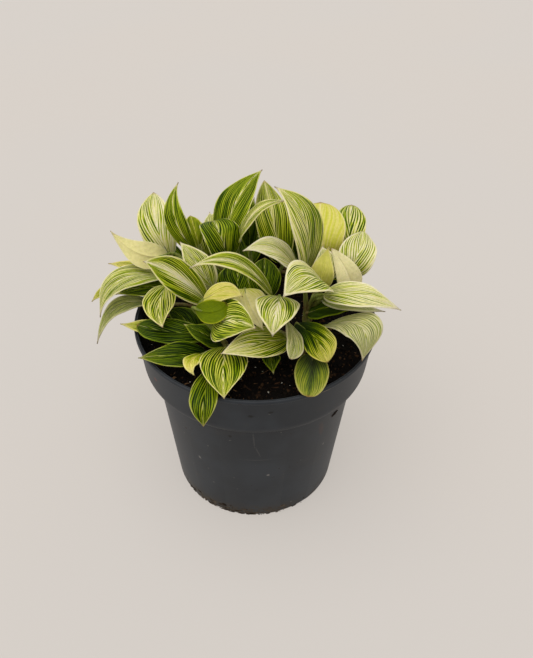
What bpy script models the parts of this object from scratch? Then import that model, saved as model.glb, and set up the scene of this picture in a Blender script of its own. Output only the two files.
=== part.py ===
"""A potted philodendron: a clump of young striped plantlets in a 12 cm nursery pot.

Lengths are written in millimetres and become Blender's metres where a mesh is made.
The origin is the middle of the pot's underside. +Z is up and -Y is the front of the plant.
"""

import math
from collections import namedtuple

import bmesh
import bpy
import numpy as np

MM = 0.001
CLEARANCE = 0.3

# The pot
RIM_RADIUS = 60.0
POT_HEIGHT = 104.0
COLLAR_HEIGHT = 24.0
COLLAR_FOOT_RADIUS = 57.1
BODY_TOP_RADIUS = 51.8
BASE_RADIUS = 44.0
WALL = 1.3
FLOOR = 1.6
GROOVE_INNER_RADIUS = 31.0
GROOVE_OUTER_RADIUS = 37.7
GROOVE_DEPTH = 1.5
LIP_HEIGHT = 2.2
LIP_WIDTH = 1.9
POT_SIDES = 36

# The notches and holes that let water out of the base
BASE_TURN = math.radians(-120)
NOTCH_COUNT = 6
NOTCH_WIDTH = 16.0
NOTCH_HEIGHT = 1.4
DRAIN_COUNT = 6
DRAIN_RADIUS = 3.2
DRAIN_SIDES = 10

# The soil
SOIL_TOP = 97.6
SOIL_ROUGHNESS = 0.5
SOIL_SIDES = 28
SOIL_RINGS = 3

# The short stem of each plantlet
STEM_RADIUS = 2.8
STEM_TOP_RADIUS = 2.2
STEM_DEPTH = 12.0
STEM_RISE = 5.5
STEM_SIDES = 8

# The leaves
BLADE_THICKNESS = 0.8
BLADE_STEPS = 6
WIDE_BLADE = 20.0
CURL = 0.16
FOLD_FULL_FROM = 0.35
LEAST_HALF_WIDTH = 0.7
PETIOLE_SIDES = 4
PETIOLE_STEPS = 4
PETIOLE_RADIUS = 1.5
PETIOLE_END_RADIUS = 0.6
PETIOLE_REACH_UNDER_BLADE = 0.14
STALK_TURN = 0.37

Leaf = namedtuple("Leaf", "name base arch tip width roll fold widest point", defaults=(0, 14, 0.36, 1.2))

# Each plantlet has the place of its stem in the soil, and its leaves. A leaf is given by three
# points of its midrib: where the blade begins, its middle and its tip. Then come its width, the
# angle that it is rolled by round its length, the angle that its halves are folded up by, the
# share of its length at which it is widest, and how drawn out its tip is: 1.2 is sharp, 0.5 blunt.
PLANTLETS = {
    "plantlet_left": ((-28, 5), [
        Leaf("big_striped", (-23, -7, 117), (-37, -12, 137), (-50, -14, 145), 17, 48, 14, 0.45),
        Leaf("bright", (-44, 5, 118), (-45, -16, 121), (-41, -31, 121), 16),
        Leaf("drooping", (-46, 14, 117), (-67, 2, 122), (-76, -6, 106), 14, 18),
        Leaf("hidden_tip", (-55, 24, 110), (-74, 17, 108), (-85, 14, 100), 10, 20),
        Leaf("shaded", (-43, 11, 112), (-56, 7, 115), (-70, 6, 111), 13, 22),
        Leaf("low_drooping", (-52, 6, 106), (-69, -1, 108), (-78, -12, 94), 10, 15),
        Leaf("sliver", (-51, 24, 112), (-64, 25, 115), (-77, 27, 115), 8, 30),
        Leaf("pale_back", (-44, 16, 129), (-57, 12, 132), (-72, 22, 138), 14, -125),
        Leaf("tall_pale", (-44, 24, 122), (-50, 28, 138), (-54, 50, 144), 19, 10, 14, 0.55, 0.7),
        Leaf("small_striped", (-21, -1, 122), (-28, -1, 136), (-36, 7, 142), 14, 40),
        Leaf("horn", (-31, 21, 128), (-40, 21, 148), (-39, 37, 157), 11, 25),
        Leaf("rim_tip", (-42, -11, 103), (-53, -14, 107), (-65, -12, 107), 9, 20),
    ]),
    "plantlet_back": ((0, 22), [
        Leaf("peep_left", (-31, 38, 120), (-33, 42, 127), (-36, 51, 130), 10, 0, 14, 0.6, 0.7),
        Leaf("peep", (-21, 35, 119), (-24, 44, 127), (-26, 55, 130), 12),
        Leaf("folded_round", (-14, 16, 127), (-17, 11, 143), (-21, 23, 144), 23, 0, 24, 0.5, 0.5),
        Leaf("tall_green", (-17, 27, 125), (-11, 27, 151), (2, 44, 161), 21, -8, 14, 0.45),
        Leaf("behind_tall", (-4, 34, 122), (-4, 38, 135), (-2, 50, 142), 10),
        Leaf("small_arch", (-9, 17, 136), (0, 11, 157), (14, 14, 161), 9, -20),
        Leaf("broad_back", (13, 22, 121), (8, 24, 143), (3, 48, 153), 19, 5, 14, 0.5, 0.8),
        Leaf("dark_low_left", (-15, 7, 107), (-19, 10, 118), (-24, 18, 122), 14),
        Leaf("dark_low_mid", (-9, 3, 110), (-9, 6, 121), (-10, 13, 126), 22, 0, 14, 0.5, 0.6),
        Leaf("dark_low_right", (5, 3, 112), (4, 5, 124), (4, 14, 129), 17, 0, 14, 0.5, 0.8),
    ]),
    "plantlet_centre": ((3, -9), [
        Leaf("arching", (8, -13, 126), (-8, -28, 155), (-28, -26, 150), 10, 30),
        Leaf("white_heart", (11, -21, 132), (9, -44, 140), (8, -52, 135), 20, 4, 14, 0.22),
        Leaf("yellow_broad", (-5, -9, 127), (-2, -27, 132), (4, -35, 124), 17, 5),
        Leaf("broad_low", (15, -27, 112), (0, -42, 122), (-14, -49, 122), 17, 22),
    ]),
    "plantlet_front": ((-11, -25), [
        Leaf("curled_yellow", (-23, -23, 131), (-13, -26, 138), (-5, -32, 140), 11, -30),
        Leaf("curled_belly", (-26, -28, 130), (-18, -34, 133), (-12, -31, 135), 11, 130, 4, 0.5, 0.5),
        Leaf("striped", (-18, -29, 123), (-8, -41, 134), (1, -46, 134), 21, -42, 14, 0.22),
        Leaf("front_heart", (-13, -32, 111), (-13, -52, 114), (-12, -63, 109), 22, 0, 14, 0.3),
        Leaf("over_rim", (-19, -38, 103), (-21, -59, 106), (-21, -67, 96), 13, 0, 14, 0.55, 1),
        Leaf("tiny_yellow", (-24, -34, 108), (-28, -43, 111), (-26, -48, 108), 8),
        Leaf("low_dark", (-22, -18, 107), (-39, -23, 112), (-56, -16, 110), 15, 14, 14, 0.6, 0.6),
        Leaf("low_bright", (-22, -28, 103), (-37, -36, 109), (-53, -35, 106), 14, 20),
        Leaf("dark_centre", (-15, -22, 105), (-24, -25, 113), (-33, -21, 115), 12, 15),
        Leaf("dark_pocket", (-28, -12, 103), (-35, -9, 109), (-44, -3, 110), 14, 20),
    ]),
    "plantlet_right": ((26, 5), [
        Leaf("heart", (33, -13, 131), (23, -29, 149), (12, -40, 146), 21, 20, 14, 0.5),
        Leaf("long", (32, -12, 127), (48, -23, 135), (66, -23, 127), 14, -22),
        Leaf("under_long", (32, -4, 118), (45, -11, 120), (62, -9, 115), 8, -15),
        Leaf("shaded", (26, -1, 107), (36, -5, 114), (48, -4, 112), 14, -10),
        Leaf("big_arch", (24, 3, 129), (22, -1, 160), (8, 14, 168), 20, 10, 14, 0.42),
        Leaf("pale_left", (20, 2, 130), (8, -3, 146), (-6, -6, 146), 14, 28),
        Leaf("yellow_fan", (36, 28, 118), (32, 29, 135), (33, 57, 136), 26, 0, 4, 0.66, 0.4),
        Leaf("back_green", (48, 34, 120), (47, 36, 134), (50, 60, 133), 17, 0, 10, 0.6, 0.5),
        Leaf("back_pale", (45, 14, 119), (49, 12, 134), (54, 36, 132), 19, -5, 14, 0.5, 0.8),
        Leaf("young_back", (31, -2, 122), (31, -6, 137), (34, 5, 142), 12, 170),
        Leaf("young_cup", (45, -2, 121), (43, -4, 133), (35, 4, 142), 13, 45, 16, 0.36, 0.8),
        Leaf("behind_arch", (20, 30, 118), (16, 36, 130), (14, 50, 136), 16),
        Leaf("pale_filler", (34, 12, 116), (34, 11, 129), (32, 19, 133), 15),
    ]),
    "plantlet_right_front": ((22, -20), [
        Leaf("drooping", (33, -18, 113), (47, -34, 126), (48, -42, 113), 19, -12, 14, 0.55),
        Leaf("patched", (20, -18, 114), (28, -34, 118), (33, -41, 111), 16, -10, 14, 0.6, 0.7),
        Leaf("narrow_pale", (15, -23, 119), (18, -40, 122), (16, -47, 118), 9, 25, 14, 0.62, 0.6),
        Leaf("low_olive", (27, -28, 104), (26, -44, 107), (24, -57, 105), 16, 0, 14, 0.5, 0.4),
        Leaf("tiny_dark", (8, -29, 103), (8, -35, 106), (9, -39, 101), 9),
        Leaf("tiny_bract", (29, -20, 113), (31, -26, 117), (33, -28, 116), 5),
    ]),
    "plantlet_back_left": ((-22, 34), [
        Leaf("wide", (-28, 45, 108), (-40, 59, 117), (-50, 71, 108), 22),
        Leaf("low", (-38, 36, 106), (-56, 44, 113), (-70, 50, 102), 20),
        Leaf("trailing", (-22, 48, 106), (-26, 62, 110), (-28, 76, 98), 18),
        Leaf("inner", (-15, 44, 113), (-18, 58, 124), (-22, 74, 118), 20),
        Leaf("side", (-42, 33, 103), (-60, 38, 107), (-73, 42, 98), 17),
    ]),
    "plantlet_back_right": ((20, 36), [
        Leaf("wide", (24, 48, 110), (28, 64, 122), (34, 78, 113), 22),
        Leaf("low", (35, 44, 107), (48, 57, 114), (57, 68, 105), 20),
        Leaf("side", (38, 30, 106), (48, 37, 109), (56, 43, 102), 16),
        Leaf("inner", (8, 44, 116), (7, 58, 131), (7, 74, 125), 22),
        Leaf("trailing", (12, 50, 104), (10, 66, 108), (8, 78, 96), 17),
        Leaf("middle", (-4, 42, 106), (-7, 58, 113), (-8, 74, 104), 18),
    ]),
}


def clear_scene():
    """Removes every object, so that the script starts from nothing."""
    for thing in list(bpy.data.objects):
        bpy.data.objects.remove(thing, do_unlink=True)


def make_material(name, colour, roughness):
    """A plain finish of one colour."""
    material = bpy.data.materials.new(name)
    material.use_nodes = True
    shader = material.node_tree.nodes["Principled BSDF"]
    shader.inputs["Base Color"].default_value = (*colour, 1.0)
    shader.inputs["Roughness"].default_value = roughness
    shader.inputs["Metallic"].default_value = 0.0
    return material


def make_object(name, points, faces, material=None, collection=None):
    """Turns points in millimetres and their faces into an object."""
    mesh = bpy.data.meshes.new(name)
    mesh.from_pydata([tuple(MM * value for value in point) for point in points], [], faces)
    mesh.validate()
    if material:
        mesh.materials.append(material)
    thing = bpy.data.objects.new(name, mesh)
    (collection or bpy.context.scene.collection).objects.link(thing)
    return thing


def unit(vector):
    """The vector at length 1."""
    vector = np.asarray(vector, float)
    return vector / np.linalg.norm(vector)


def turn(profile, sides):
    """Turns an outline of (radius, height) points, from the axis at the bottom to the axis at the top."""
    points = [(0.0, 0.0, profile[0][1])]
    for radius, height in profile[1:-1]:
        for step in range(sides):
            angle = 2 * math.pi * step / sides
            points.append((radius * math.cos(angle), radius * math.sin(angle), height))
    points.append((0.0, 0.0, profile[-1][1]))
    rings = len(profile) - 2
    last = len(points) - 1
    faces = []
    for step in range(sides):
        after = (step + 1) % sides
        faces.append((0, 1 + after, 1 + step))
        for ring in range(rings - 1):
            low = 1 + ring * sides
            high = low + sides
            faces.append((low + step, low + after, high + after, high + step))
        top = 1 + (rings - 1) * sides
        faces.append((top + step, top + after, last))
    return points, faces


def tube(path, radii, sides, turn_by=0.0):
    """A closed tube along a path of points, with a radius at each, its corners turned by an angle."""
    path = np.asarray(path, float)
    ways = np.gradient(path, axis=0)
    side = unit(np.cross(ways[0], (math.cos(turn_by), math.sin(turn_by), 0.1)))
    points = []
    for place, way, radius in zip(path, ways, radii):
        way = unit(way)
        side = unit(side - way * (side @ way))
        other = np.cross(way, side)
        for step in range(sides):
            angle = 2 * math.pi * step / sides
            points.append(place + radius * (side * math.cos(angle) + other * math.sin(angle)))
    faces = [tuple(reversed(range(sides)))]
    for ring in range(len(path) - 1):
        for step in range(sides):
            after = (step + 1) % sides
            low, high = ring * sides, (ring + 1) * sides
            faces.append((low + step, low + after, high + after, high + step))
    start = (len(path) - 1) * sides
    faces.append(tuple(range(start, start + sides)))
    return points, faces


def join_by_boolean(target, tools, operation, solver="EXACT"):
    """Adds the objects of a collection to the target, or cuts them out of it, and removes them."""
    change = target.modifiers.new(operation.lower(), "BOOLEAN")
    change.operation = operation
    change.solver = solver
    change.operand_type = "COLLECTION"
    change.collection = tools
    graph = bpy.context.evaluated_depsgraph_get()
    result = bpy.data.meshes.new_from_object(target.evaluated_get(graph))
    target.modifiers.clear()
    target.data = result
    for thing in list(tools.objects):
        bpy.data.objects.remove(thing, do_unlink=True)
    bpy.data.collections.remove(tools)


def new_tools(name):
    """A collection for the objects that a Boolean uses up."""
    tools = bpy.data.collections.new(name)
    bpy.context.scene.collection.children.link(tools)
    return tools


def islands(mesh):
    """The groups of faces that hang together, as lists of bmesh faces."""
    waiting = set(mesh.faces)
    groups = []
    while waiting:
        start = waiting.pop()
        group, edge = [start], [start]
        while edge:
            face = edge.pop()
            for side in face.edges:
                for other in side.link_faces:
                    if other in waiting:
                        waiting.remove(other)
                        group.append(other)
                        edge.append(other)
        groups.append(group)
    return groups


def keep_outer_body(thing):
    """Fills the sealed hollows that crossing blades leave, and drops loose scraps."""
    mesh = bmesh.new()
    mesh.from_mesh(thing.data)
    bmesh.ops.triangulate(mesh, faces=mesh.faces)
    groups = sorted(islands(mesh), key=len, reverse=True)
    extra = [face for group in groups[1:] for face in group]
    bmesh.ops.delete(mesh, geom=extra, context="FACES")
    mesh.to_mesh(thing.data)
    mesh.free()


def smooth(thing, degrees):
    """Shades an object smooth, with its sharp edges kept."""
    thing.data.shade_smooth()
    thing.data.set_sharp_from_angle(angle=math.radians(degrees))


def collar_radius(height):
    """The collar's outer radius at a height, on its straight slope."""
    share = (height - (POT_HEIGHT - COLLAR_HEIGHT)) / COLLAR_HEIGHT
    return COLLAR_FOOT_RADIUS + share * (RIM_RADIUS - LIP_WIDTH / 2 - COLLAR_FOOT_RADIUS)


def body_radius(height):
    """The body's outer radius at a height, on its straight slope."""
    share = height / (POT_HEIGHT - COLLAR_HEIGHT)
    return BASE_RADIUS + share * (BODY_TOP_RADIUS - BASE_RADIUS)


def pot_profile():
    """The outline of the pot, from the middle of its underside round the rim to its inside."""
    collar_foot = POT_HEIGHT - COLLAR_HEIGHT
    lip_foot = POT_HEIGHT - LIP_HEIGHT
    groove_floor = FLOOR + GROOVE_DEPTH
    return [
        (0.0, 0.0),
        (GROOVE_INNER_RADIUS - 1.0, 0.0),
        (GROOVE_INNER_RADIUS + 0.5, GROOVE_DEPTH),
        (GROOVE_OUTER_RADIUS - 0.7, GROOVE_DEPTH),
        (GROOVE_OUTER_RADIUS + 0.8, 0.0),
        (BASE_RADIUS - 1.0, 0.0),
        (body_radius(1.0), 1.0),
        (body_radius(collar_foot - 1.0), collar_foot - 1.0),
        (COLLAR_FOOT_RADIUS - 2.6, collar_foot - 0.8),
        (COLLAR_FOOT_RADIUS - 0.9, collar_foot + 0.2),
        (COLLAR_FOOT_RADIUS, collar_foot + 2.2),
        (collar_radius(lip_foot), lip_foot),
        (RIM_RADIUS, lip_foot + 0.5),
        (RIM_RADIUS, POT_HEIGHT - 0.6),
        (RIM_RADIUS - 0.7, POT_HEIGHT),
        (RIM_RADIUS - LIP_WIDTH + 0.4, POT_HEIGHT),
        (RIM_RADIUS - LIP_WIDTH, POT_HEIGHT - 0.5),
        (RIM_RADIUS - LIP_WIDTH, POT_HEIGHT - 1.4),
        (collar_radius(lip_foot) - WALL, lip_foot),
        (collar_radius(collar_foot + 2.0) - WALL, collar_foot + 2.0),
        (body_radius(collar_foot) - WALL, collar_foot + 0.8),
        (body_radius(4.0) - WALL, FLOOR + 1.0),
        (body_radius(4.0) - WALL - 1.0, FLOOR),
        (GROOVE_OUTER_RADIUS + 0.8, FLOOR),
        (GROOVE_OUTER_RADIUS - 0.7, groove_floor),
        (GROOVE_INNER_RADIUS + 0.5, groove_floor),
        (GROOVE_INNER_RADIUS - 1.0, FLOOR),
        (0.0, FLOOR),
    ]


def make_drains(tools):
    """The cutters of the notches in the foot ring and of the holes in the groove."""
    for step in range(NOTCH_COUNT):
        angle = 2 * math.pi * step / NOTCH_COUNT + BASE_TURN
        way = np.array((math.cos(angle), math.sin(angle), 0.0))
        side = np.array((-way[1], way[0], 0.0))
        inner, outer = GROOVE_OUTER_RADIUS - 0.2, BASE_RADIUS + 2.0
        corners = []
        for height in (-1.0, NOTCH_HEIGHT):
            for reach, across in ((inner, -0.5), (outer, -0.5), (outer, 0.5), (inner, 0.5)):
                corners.append(way * reach + side * across * NOTCH_WIDTH + (0, 0, height))
        faces = [(3, 2, 1, 0), (4, 5, 6, 7)]
        faces += [(k, (k + 1) % 4, (k + 1) % 4 + 4, k + 4) for k in range(4)]
        make_object(f"notch_cutter_{step}", corners, faces, collection=tools)
    middle = (GROOVE_INNER_RADIUS + GROOVE_OUTER_RADIUS) / 2
    for step in range(DRAIN_COUNT):
        angle = 2 * math.pi * (step + 0.5) / DRAIN_COUNT + BASE_TURN
        x, y = middle * math.cos(angle), middle * math.sin(angle)
        profile = [(0, -1.0), (DRAIN_RADIUS, -1.0), (DRAIN_RADIUS, FLOOR + 4.0), (0, FLOOR + 4.0)]
        points, faces = turn(profile, DRAIN_SIDES)
        points = [(x + px, y + py, pz) for px, py, pz in points]
        make_object(f"drain_cutter_{step}", points, faces, collection=tools)


def make_pot():
    """The moulded plastic pot."""
    plastic = make_material("slate_plastic", (0.050, 0.052, 0.055), 0.45)
    pot = make_object("pot", *turn(pot_profile(), POT_SIDES), plastic)
    tools = new_tools("pot_cutters")
    make_drains(tools)
    join_by_boolean(pot, tools, "DIFFERENCE")
    smooth(pot, 35)


def soil_profile():
    """The outline of the soil, a little clear of the pot's wall and floor."""
    collar_foot = POT_HEIGHT - COLLAR_HEIGHT
    # The wall stands a few degrees off plumb, so the gap across it needs a little more than the clearance.
    gap = WALL + 1.15 * CLEARANCE
    floor = FLOOR + GROOVE_DEPTH + CLEARANCE
    profile = [
        (0.0, floor),
        (body_radius(4.0) - gap - 1.0, floor),
        (body_radius(collar_foot) - gap, collar_foot + 0.8),
        (collar_radius(collar_foot + 2.0) - gap - 0.3, collar_foot + 2.6),
    ]
    edge = collar_radius(SOIL_TOP) - gap
    for ring in range(SOIL_RINGS):
        profile.append((edge * (1 - ring / SOIL_RINGS), SOIL_TOP))
    profile.append((0.0, SOIL_TOP))
    return profile


def soil_relief(x, y):
    """How far the soil's top stands above its mean level at a place."""
    waves = math.sin(0.21 * x + 1.0) + math.sin(0.17 * y - 0.11 * x) + math.sin(0.33 * y + 0.27 * x)
    return SOIL_ROUGHNESS * waves / 3


def make_soil():
    """The plug of peat, with a plain hole for each stem."""
    peat = make_material("dark_peat", (0.020, 0.013, 0.009), 0.95)
    points, faces = turn(soil_profile(), SOIL_SIDES)
    raised = [(x, y, z + soil_relief(x, y) if z > SOIL_TOP - 0.1 else z) for x, y, z in points]
    soil = make_object("soil", raised, faces, peat)
    tools = new_tools("stem_holes")
    hole = STEM_RADIUS / math.cos(math.pi / STEM_SIDES) + 2 * CLEARANCE
    depth = SOIL_TOP - STEM_DEPTH - CLEARANCE
    for name, ((x, y), _) in PLANTLETS.items():
        profile = [(0, depth), (hole, depth), (hole, POT_HEIGHT), (0, POT_HEIGHT)]
        ring, sides = turn(profile, STEM_SIDES)
        make_object(f"hole_{name}", [(x + px, y + py, pz) for px, py, pz in ring], sides, collection=tools)
    join_by_boolean(soil, tools, "DIFFERENCE")


def midrib(leaf, along):
    """Points and directions of a leaf's midrib at shares of its length."""
    base, arch, tip = (np.array(place, float) for place in (leaf.base, leaf.arch, leaf.tip))
    control = 2 * arch - (base + tip) / 2
    u = np.asarray(along, float)[:, None]
    points = (1 - u) ** 2 * base + 2 * u * (1 - u) * control + u**2 * tip
    ways = (1 - u) * (control - base) + u * (tip - control)
    return points, ways / np.linalg.norm(ways, axis=1)[:, None]


def half_width(leaf, along):
    """Half of the blade's width at shares of its length: round near the stalk, drawn out at the tip."""
    u = np.asarray(along, float)
    near = np.sqrt(np.clip(1 - ((leaf.widest - u) / leaf.widest) ** 2, 0, 1))
    far = np.clip((u - leaf.widest) / (1 - leaf.widest), 0, 1)
    drawn = np.cos(math.pi / 2 * far**0.95) ** leaf.point
    return np.maximum(np.where(u < leaf.widest, near, drawn) * leaf.width / 2, LEAST_HALF_WIDTH)


def blade_sides(leaf, ways):
    """The directions across the blade and out of its upper face, along the midrib."""
    chord = unit(np.subtract(leaf.tip, leaf.base))
    level = unit(np.cross(chord, (0, 0, 1)))
    roll = math.radians(leaf.roll)
    across = level * math.cos(roll) + np.cross(level, chord) * math.sin(roll)
    sides = across - ways * (ways @ across)[:, None]
    sides /= np.linalg.norm(sides, axis=1)[:, None]
    return sides, np.cross(sides, ways)


def blade(leaf):
    """The closed solid of a blade: an upper and a lower face split alike, and a thin rim."""
    along = np.linspace(0, 1, BLADE_STEPS + 1)
    panels = 4 if leaf.width >= WIDE_BLADE else 2
    points, ways = midrib(leaf, along)
    sides, ups = blade_sides(leaf, ways)
    half = half_width(leaf, along)
    across = np.linspace(-1, 1, panels + 1)
    # The fold fades out where the blade narrows to its ends.
    fold = np.radians(leaf.fold) * np.minimum(1, half / (FOLD_FULL_FROM * leaf.width / 2))
    fold = fold[:, None]
    lift = np.abs(across) * np.sin(fold) - CURL * across**2
    spread = across * np.cos(fold)
    sides, ups = sides[:, None], ups[:, None]
    sheet = points[:, None] + half[:, None, None] * (sides * spread[..., None] + ups * lift[..., None])
    slope = np.sign(across) * np.sin(fold) - 2 * CURL * across
    # On the midrib the two halves meet, so the offset is mitred there.
    mitre = np.where(across == 0, 1 / np.cos(fold) ** 2, 1 / np.hypot(slope, np.cos(fold)))
    outward = ups * (np.cos(fold) * mitre)[..., None] - sides * (slope * mitre)[..., None]
    thick = outward * BLADE_THICKNESS / 2
    grid = np.concatenate([(sheet + thick).reshape(-1, 3), (sheet - thick).reshape(-1, 3)])
    return grid, blade_faces(BLADE_STEPS, panels)


def blade_faces(steps, panels):
    """The faces of a blade's solid, whose points run across and then along, the upper ones first."""
    row = panels + 1
    under = (steps + 1) * row
    faces = []
    for step in range(steps):
        for panel in range(panels):
            a = step * row + panel
            b, c, d = a + row, a + row + 1, a + 1
            faces += [(a, c, b), (a, d, c)]
            faces += [(under + a, under + b, under + c), (under + a, under + c, under + d)]
        for a, b in ((step * row, (step + 1) * row), ((step + 1) * row + panels, step * row + panels)):
            faces += [(a, b, under + b), (a, under + b, under + a)]
    for panel in range(panels):
        a, b = panel, panel + 1
        faces += [(b, a, under + a), (b, under + a, under + b)]
        a, b = steps * row + panel, steps * row + panel + 1
        faces += [(a, b, under + b), (a, under + b, under + a)]
    return faces


def petiole_path(foot, leaf, order):
    """The stalk's path: out of the stem, up in a curve to the blade, and on a little under the midrib."""
    (base, under), ways = midrib(leaf, (0.0, PETIOLE_REACH_UNDER_BLADE))
    rise = SOIL_TOP + 3.3 + 0.4 * (order % 4)
    away = unit((base[0] - foot[0], base[1] - foot[1], 0.0))
    start = np.array((foot[0], foot[1], rise)) + away * STEM_TOP_RADIUS * 0.4
    reach = np.linalg.norm(base - start)
    lean = unit((base - start) * (0.5, 0.5, 0) + (0, 0, reach))
    first = start + lean * reach * 0.4
    second = base - ways[0] * reach * 0.38
    u = np.linspace(0, 1, PETIOLE_STEPS + 1)[:, None]
    curve = (1 - u) ** 3 * start + 3 * u * (1 - u) ** 2 * first + 3 * u**2 * (1 - u) * second + u**3 * base
    return np.vstack([curve, under])


def make_plantlet(name, foot, leaves, material):
    """One plantlet: its stem, stalks and blades, joined into one body."""
    top = SOIL_TOP + STEM_RISE
    stem = [
        (0, SOIL_TOP - STEM_DEPTH), (STEM_RADIUS * 0.6, SOIL_TOP - STEM_DEPTH),
        (STEM_RADIUS, SOIL_TOP - STEM_DEPTH + 2.0), (STEM_RADIUS, SOIL_TOP),
        (STEM_TOP_RADIUS, top - 0.8), (STEM_TOP_RADIUS * 0.5, top), (0, top),
    ]
    points, faces = turn(stem, STEM_SIDES)
    points = [(foot[0] + x, foot[1] + y, z) for x, y, z in points]
    plantlet = make_object(name, points, faces, material)
    tools = new_tools(f"{name}_leaves")
    for order, leaf in enumerate(leaves):
        path = petiole_path(foot, leaf, order)
        radii = np.linspace(PETIOLE_RADIUS, PETIOLE_END_RADIUS, len(path))
        stalk = tube(path, radii, PETIOLE_SIDES, STALK_TURN * order)
        make_object(f"{name}_{leaf.name}_stalk", *stalk, material, tools)
        make_object(f"{name}_{leaf.name}", *blade(leaf), material, tools)
    join_by_boolean(plantlet, tools, "UNION")
    keep_outer_body(plantlet)
    smooth(plantlet, 40)


def main():
    """Builds the pot, the soil and the plantlets."""
    clear_scene()
    make_pot()
    make_soil()
    green = make_material("striped_leaf", (0.190, 0.290, 0.060), 0.45)
    for name, (foot, leaves) in PLANTLETS.items():
        make_plantlet(name, foot, leaves, green)


if __name__ == "__main__":
    main()
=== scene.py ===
"""The looks of a potted philodendron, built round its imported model.

Sizes are in millimetres and become metres where a mesh is made. The origin is the middle of the
pot's underside, +Z is up and -Y is the front of the plant.
"""

import logging
import math
import random
from collections.abc import Iterable, Sequence
from dataclasses import dataclass, field, replace
from enum import Enum
from itertools import combinations

import bpy
import numpy as np
from mathutils import Euler, Matrix, Vector, noise


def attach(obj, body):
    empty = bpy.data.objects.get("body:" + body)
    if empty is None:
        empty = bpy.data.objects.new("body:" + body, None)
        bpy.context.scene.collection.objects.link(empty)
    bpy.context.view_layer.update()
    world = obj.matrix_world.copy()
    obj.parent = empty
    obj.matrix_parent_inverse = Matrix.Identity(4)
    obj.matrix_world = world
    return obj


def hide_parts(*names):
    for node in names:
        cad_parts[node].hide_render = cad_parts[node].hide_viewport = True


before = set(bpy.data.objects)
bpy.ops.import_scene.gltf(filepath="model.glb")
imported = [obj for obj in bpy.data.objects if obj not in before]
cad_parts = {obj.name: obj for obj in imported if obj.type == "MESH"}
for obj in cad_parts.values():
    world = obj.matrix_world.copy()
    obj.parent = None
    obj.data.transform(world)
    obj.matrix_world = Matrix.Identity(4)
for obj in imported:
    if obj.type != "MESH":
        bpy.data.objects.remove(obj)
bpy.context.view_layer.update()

log = logging.getLogger("philodendron")

MM = 0.001
FULL_TURN = 2 * math.pi
Point = tuple[float, float, float]
Colour = tuple[float, float, float]
Outline = list[tuple[float, float]]
Socket = bpy.types.NodeSocket


# Helpers for numbers and meshes


def unit(vector: Sequence[float]) -> np.ndarray:
    """The vector at length 1."""
    vector = np.asarray(vector, float)
    return vector / np.linalg.norm(vector)


def eased(low: float, high: float, value: np.ndarray | float) -> np.ndarray | float:
    """How far a value has come from low to high, from 0 to 1, with soft ends."""
    share = np.clip((value - low) / (high - low), 0, 1)
    return share * share * (3 - 2 * share)


def way_round(angle: float) -> np.ndarray:
    """The level direction at an angle round the pot."""
    return np.array((math.cos(angle), math.sin(angle), 0.0))


def add_object(name: str, data: bpy.types.ID) -> bpy.types.Object:
    """Links a mesh, a lamp or a camera into the scene as an object at the origin.

    Args:
        name: the object's name
        data: what it shows

    Returns:
        The object.
    """
    thing = bpy.data.objects.new(name, data)
    bpy.context.scene.collection.objects.link(thing)
    return thing


def make_mesh(
    name: str, points: np.ndarray, faces: Iterable[Sequence[int]] = (), edges: Iterable[Sequence[int]] = ()
) -> bpy.types.Mesh:
    """Turns points in millimetres into a mesh in metres.

    Args:
        name: the mesh's name
        points: one row of x, y and z for each point
        faces: the points of each face
        edges: the points of each loose edge

    Returns:
        The mesh.
    """
    mesh = bpy.data.meshes.new(name)
    places = (np.asarray(points, float) * MM).tolist()
    mesh.from_pydata(places, [tuple(edge) for edge in edges], [tuple(face) for face in faces])
    mesh.update()
    return mesh


def store(mesh: bpy.types.Mesh, name: str, values: np.ndarray) -> None:
    """Keeps one number or one vector for each point of a mesh.

    Args:
        mesh: the mesh
        name: the attribute's name
        values: one number, or one row of three, for each point
    """
    values = np.asarray(values, np.float32)
    kind, key = ("FLOAT_VECTOR", "vector") if values.ndim == 2 else ("FLOAT", "value")
    mesh.attributes.new(name, kind, "POINT").data.foreach_set(key, values.ravel())


def remove(thing: bpy.types.Object) -> None:
    """Takes a helper object out of the scene."""
    bpy.data.objects.remove(thing, do_unlink=True)


# Node trees


class Nodes:
    """A node tree that is built a node at a time."""

    def __init__(self, tree: bpy.types.NodeTree) -> None:
        """Starts on a tree."""
        self.tree = tree

    def add(self, kind: str, inputs: dict | None = None, **settings: object) -> bpy.types.Node:
        """Adds a node.

        Args:
            kind: Blender's name of the node
            inputs: what goes into its sockets, by name or number: another node's socket, or a value
            settings: the node's own properties

        Returns:
            The node.
        """
        node = self.tree.nodes.new(kind)
        for key, value in settings.items():
            setattr(node, key, value)
        for key, value in (inputs or {}).items():
            if isinstance(value, Socket):
                self.tree.links.new(value, node.inputs[key])
            else:
                node.inputs[key].default_value = value
        return node

    def result(
        self, kind: str, inputs: dict | None = None, output: int | str = 0, **settings: object
    ) -> Socket:
        """Adds a node and gives one of its outputs, by name or number."""
        return self.add(kind, inputs, **settings).outputs[output]


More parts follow.
